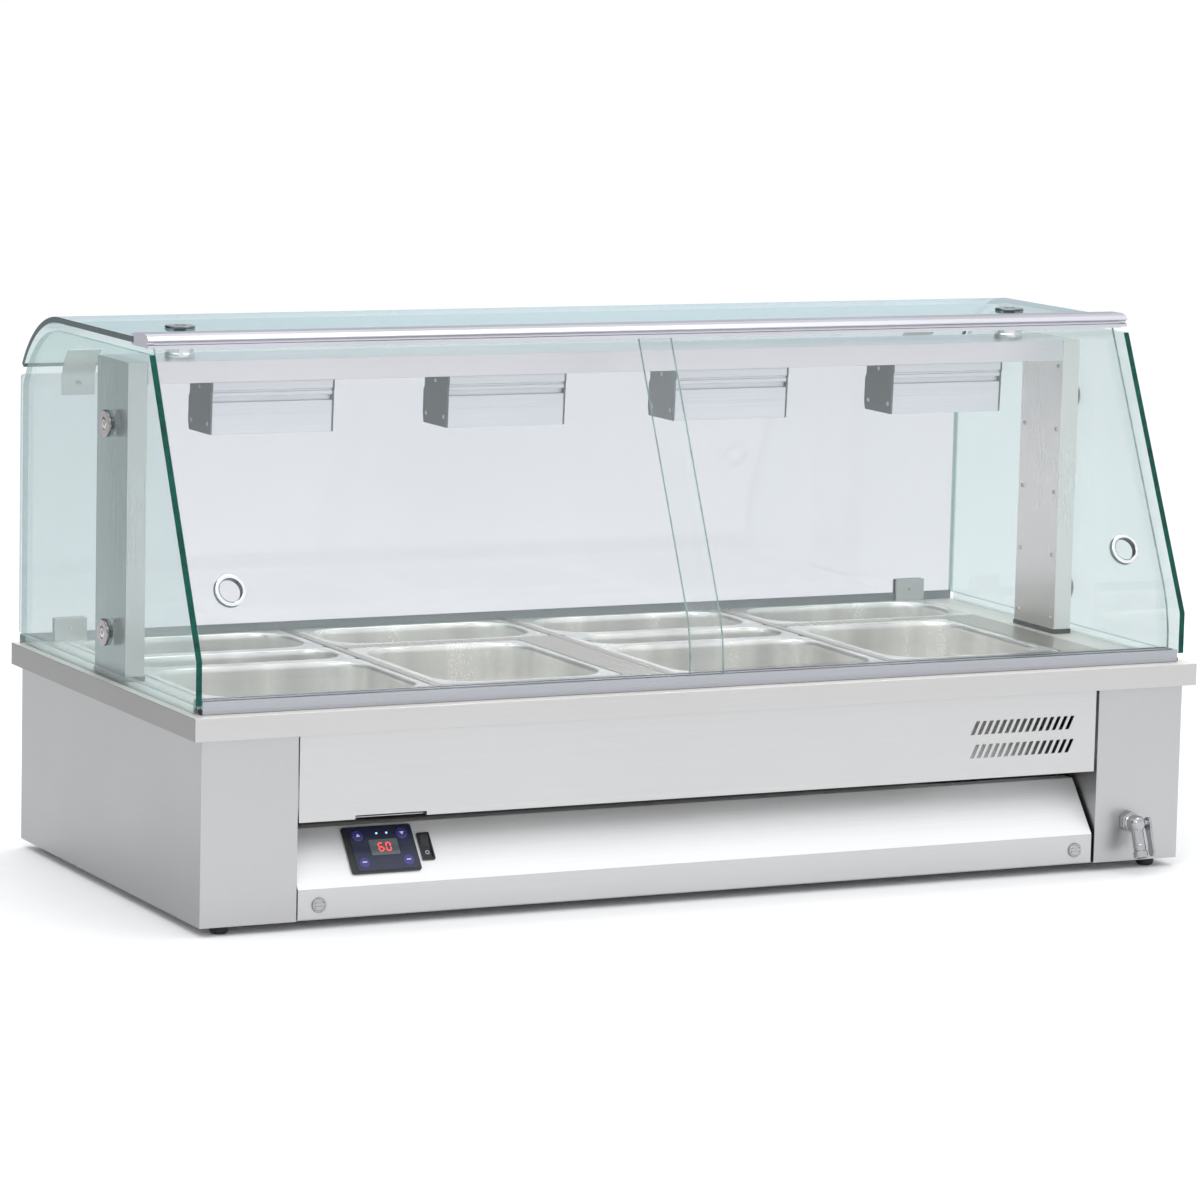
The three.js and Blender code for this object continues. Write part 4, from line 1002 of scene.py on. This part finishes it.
def make_gland():
    """Hollow threaded stem, a nut on each face of the rear panel and the domed clamping nut."""
    low, high = cad_box("cable_gland")
    centre = middle("cable_gland")
    place = facing((0, 1, 0), (centre.x, 0, centre.z))
    panel = cad_box("rear_panel")
    inner, outer = panel[0].y, panel[1].y
    shape = Shape()
    stem = [(5.5, low.y), (9.6, low.y), (10, low.y + 0.6), (10, outer + 1), (5.5, outer + 1)]
    shape.lathe(stem + stem[:1], 32, 0, place)
    for start, end in ((inner - 8.3, inner - 0.3), (outer + 0.3, outer + 3.8)):
        nut = ((start, 14), (start + 0.8, 15), (end - 0.8, 15), (end, 14))
        shape.rings([[place @ Vector((a, b, h)) for a, b in hexagon(r)] for h, r in nut])
        for h in (start, end):
            hole = list(reversed(circle((0, 0), 9.9, 24)))
            shape.sheet(hexagon(14), [hole], lambda a, b, h=h: place @ Vector((a, b, h)))
    dome = [(5.5, outer + 1), (12, outer + 3.7), (12, high.y - 1.2), (11, high.y), (5.5, high.y)]
    shape.lathe(dome + dome[:1], 32, 0, place)
    piece("cable_gland_body", shape, PLASTIC, "case", "gland_plastic", "cable_gland", angle=30)


def make_heater():
    low, high = cad_box("heating_element")
    _, y, z = middle("heating_element")
    radius = 4.2
    leg = (high.y - low.y) / 2 - radius
    turn_x = low.x + radius + leg
    bend = [(turn_x + a, y + b, z) for a, b in arc((0, 0), leg, 90, 270, 32)]
    path = [(high.x, y + leg, z)] + bend + [(high.x, y - leg, z)]
    rod = Shape().tube(path, radius, 20)
    piece("heating_element_rod", rod, HEATER, "case", "heater_steel", "heating_element")


make_rear_glass()
make_top_glass()
make_seals()
for side_name, side_sign in SIDES:
    make_end_glass(side_name)
    make_door(side_name)
    make_door_ring(side_name)
    make_top_fixing(side_name)
    make_upright_details(side_name, side_sign)
    make_upper_bracket(side_name, side_sign)
    make_lower_bracket_details(side_name)
    make_track_end(side_name, side_sign)
    make_latch(side_name)
    for level_name in ("lower", "upper"):
        make_standoff(level_name, side_name, side_sign)
    for row_name in ("front", "rear"):
        make_foot(f"foot_{row_name}_{side_name}")
for lamp_number in range(1, 5):
    make_lamp(lamp_number)
make_controller()
make_rocker()
make_drain_valve()
make_drain_lever()
make_gland()
make_heater()


# ---- stage ----


FLOOR_RADII = (60000, 6000, 2000)


def make_floor():
    shape = Shape()
    shape.rings([[(x, y, 0) for x, y in circle((0, 0), r, 64)] for r in FLOOR_RADII], cap_last=True)
    mesh = bpy.data.meshes.new("floor")
    mesh.from_pydata([tuple(v * MM) for v in shape.verts], [], shape.faces)
    mesh.materials.append(finish("floor_paper", (0.95, 0.95, 0.95), 0.9, 0, (30, 30, 30), 0.01, 0.05, 0.02,
                                 cloud=(0.5, 0.5, 0.5), cloud_depth=0.01))
    floor = bpy.data.objects.new("floor", mesh)
    bpy.context.scene.collection.objects.link(floor)


DARK_SIDE = Vector((-0.62, 0.78, -0.02)).normalized()


def make_world():
    """A bright studio: brightest overhead, with a darker side behind the left."""
    nodes = Nodes(bpy.data.worlds.new("studio"), "ShaderNodeOutputWorld")
    where = nodes.add("ShaderNodeTexCoord").outputs["Generated"]
    split = nodes.add("ShaderNodeSeparateXYZ")
    toward = nodes.add("ShaderNodeVectorMath", {1: DARK_SIDE}, operation="DOT_PRODUCT")
    both = nodes.add("ShaderNodeMath", operation="MULTIPLY")
    background = nodes.add("ShaderNodeBackground", {"Color": (0.97, 0.98, 1, 1)})
    nodes.link(where, split.inputs[0])
    nodes.link(where, toward.inputs[0])
    nodes.link(nodes.spread(split.outputs["Z"], 1.02, 1.3, (0.0, 0.9)), both.inputs[0])
    nodes.link(nodes.spread(toward.outputs["Value"], 1.0, 0.02, (0.45, 0.9)), both.inputs[1])
    nodes.link(both.outputs[0], background.inputs["Strength"])
    bpy.context.scene.world = nodes.finished(background)


def make_light(name, location, target, size, power):
    """A rectangular light, placed and aimed in metres."""
    data = bpy.data.lights.new(name, "AREA")
    data.shape = "RECTANGLE"
    data.size, data.size_y = size
    data.energy = power
    light = bpy.data.objects.new(name, data)
    light.location = location
    light.rotation_euler = (Vector(target) - Vector(location)).to_track_quat("-Z", "Y").to_euler()
    bpy.context.scene.collection.objects.link(light)


CAMERA_ANGLES = (-26.336, 8.121, 1.324)
CAMERA_TARGET = (-0.01163, SHIFT * MM, 0.35776)
CAMERA_DISTANCE = 7.3457


def make_camera():
    """A long lens that looks at the target from an azimuth and an elevation, rolled a little."""
    azimuth, elevation, roll = (math.radians(a) for a in CAMERA_ANGLES)
    right = Vector((math.cos(azimuth), math.sin(azimuth), 0))
    back = Vector((
        math.sin(azimuth) * math.cos(elevation),
        -math.cos(azimuth) * math.cos(elevation),
        math.sin(elevation),
    ))
    up = back.cross(right)
    turned_right = math.cos(roll) * right + math.sin(roll) * up
    turned_up = math.cos(roll) * up - math.sin(roll) * right
    data = bpy.data.cameras.new("camera")
    data.sensor_width = 36
    data.lens = 161.19
    data.clip_end = 200
    camera = bpy.data.objects.new("camera", data)
    turn = Matrix((turned_right, turned_up, back)).transposed().to_4x4()
    camera.matrix_world = Matrix.Translation(Vector(CAMERA_TARGET) + back * CAMERA_DISTANCE) @ turn
    bpy.context.scene.collection.objects.link(camera)
    bpy.context.scene.camera = camera


make_floor()
make_world()
make_light("key", (-2.2, -3.2, 3.4), (0, 0, 0.4), (2.5, 1.6), 30)
make_light("overhead", (0.4, 0.4, 3.6), (0, 0, 0.3), (3.0, 1.6), 32)
make_light("left", (-1.9, 0.1, 2.4), (-1.8, 0.0, 0), (1.4, 2.0), 8)
make_camera()
bpy.context.scene.view_settings.view_transform = "Standard"
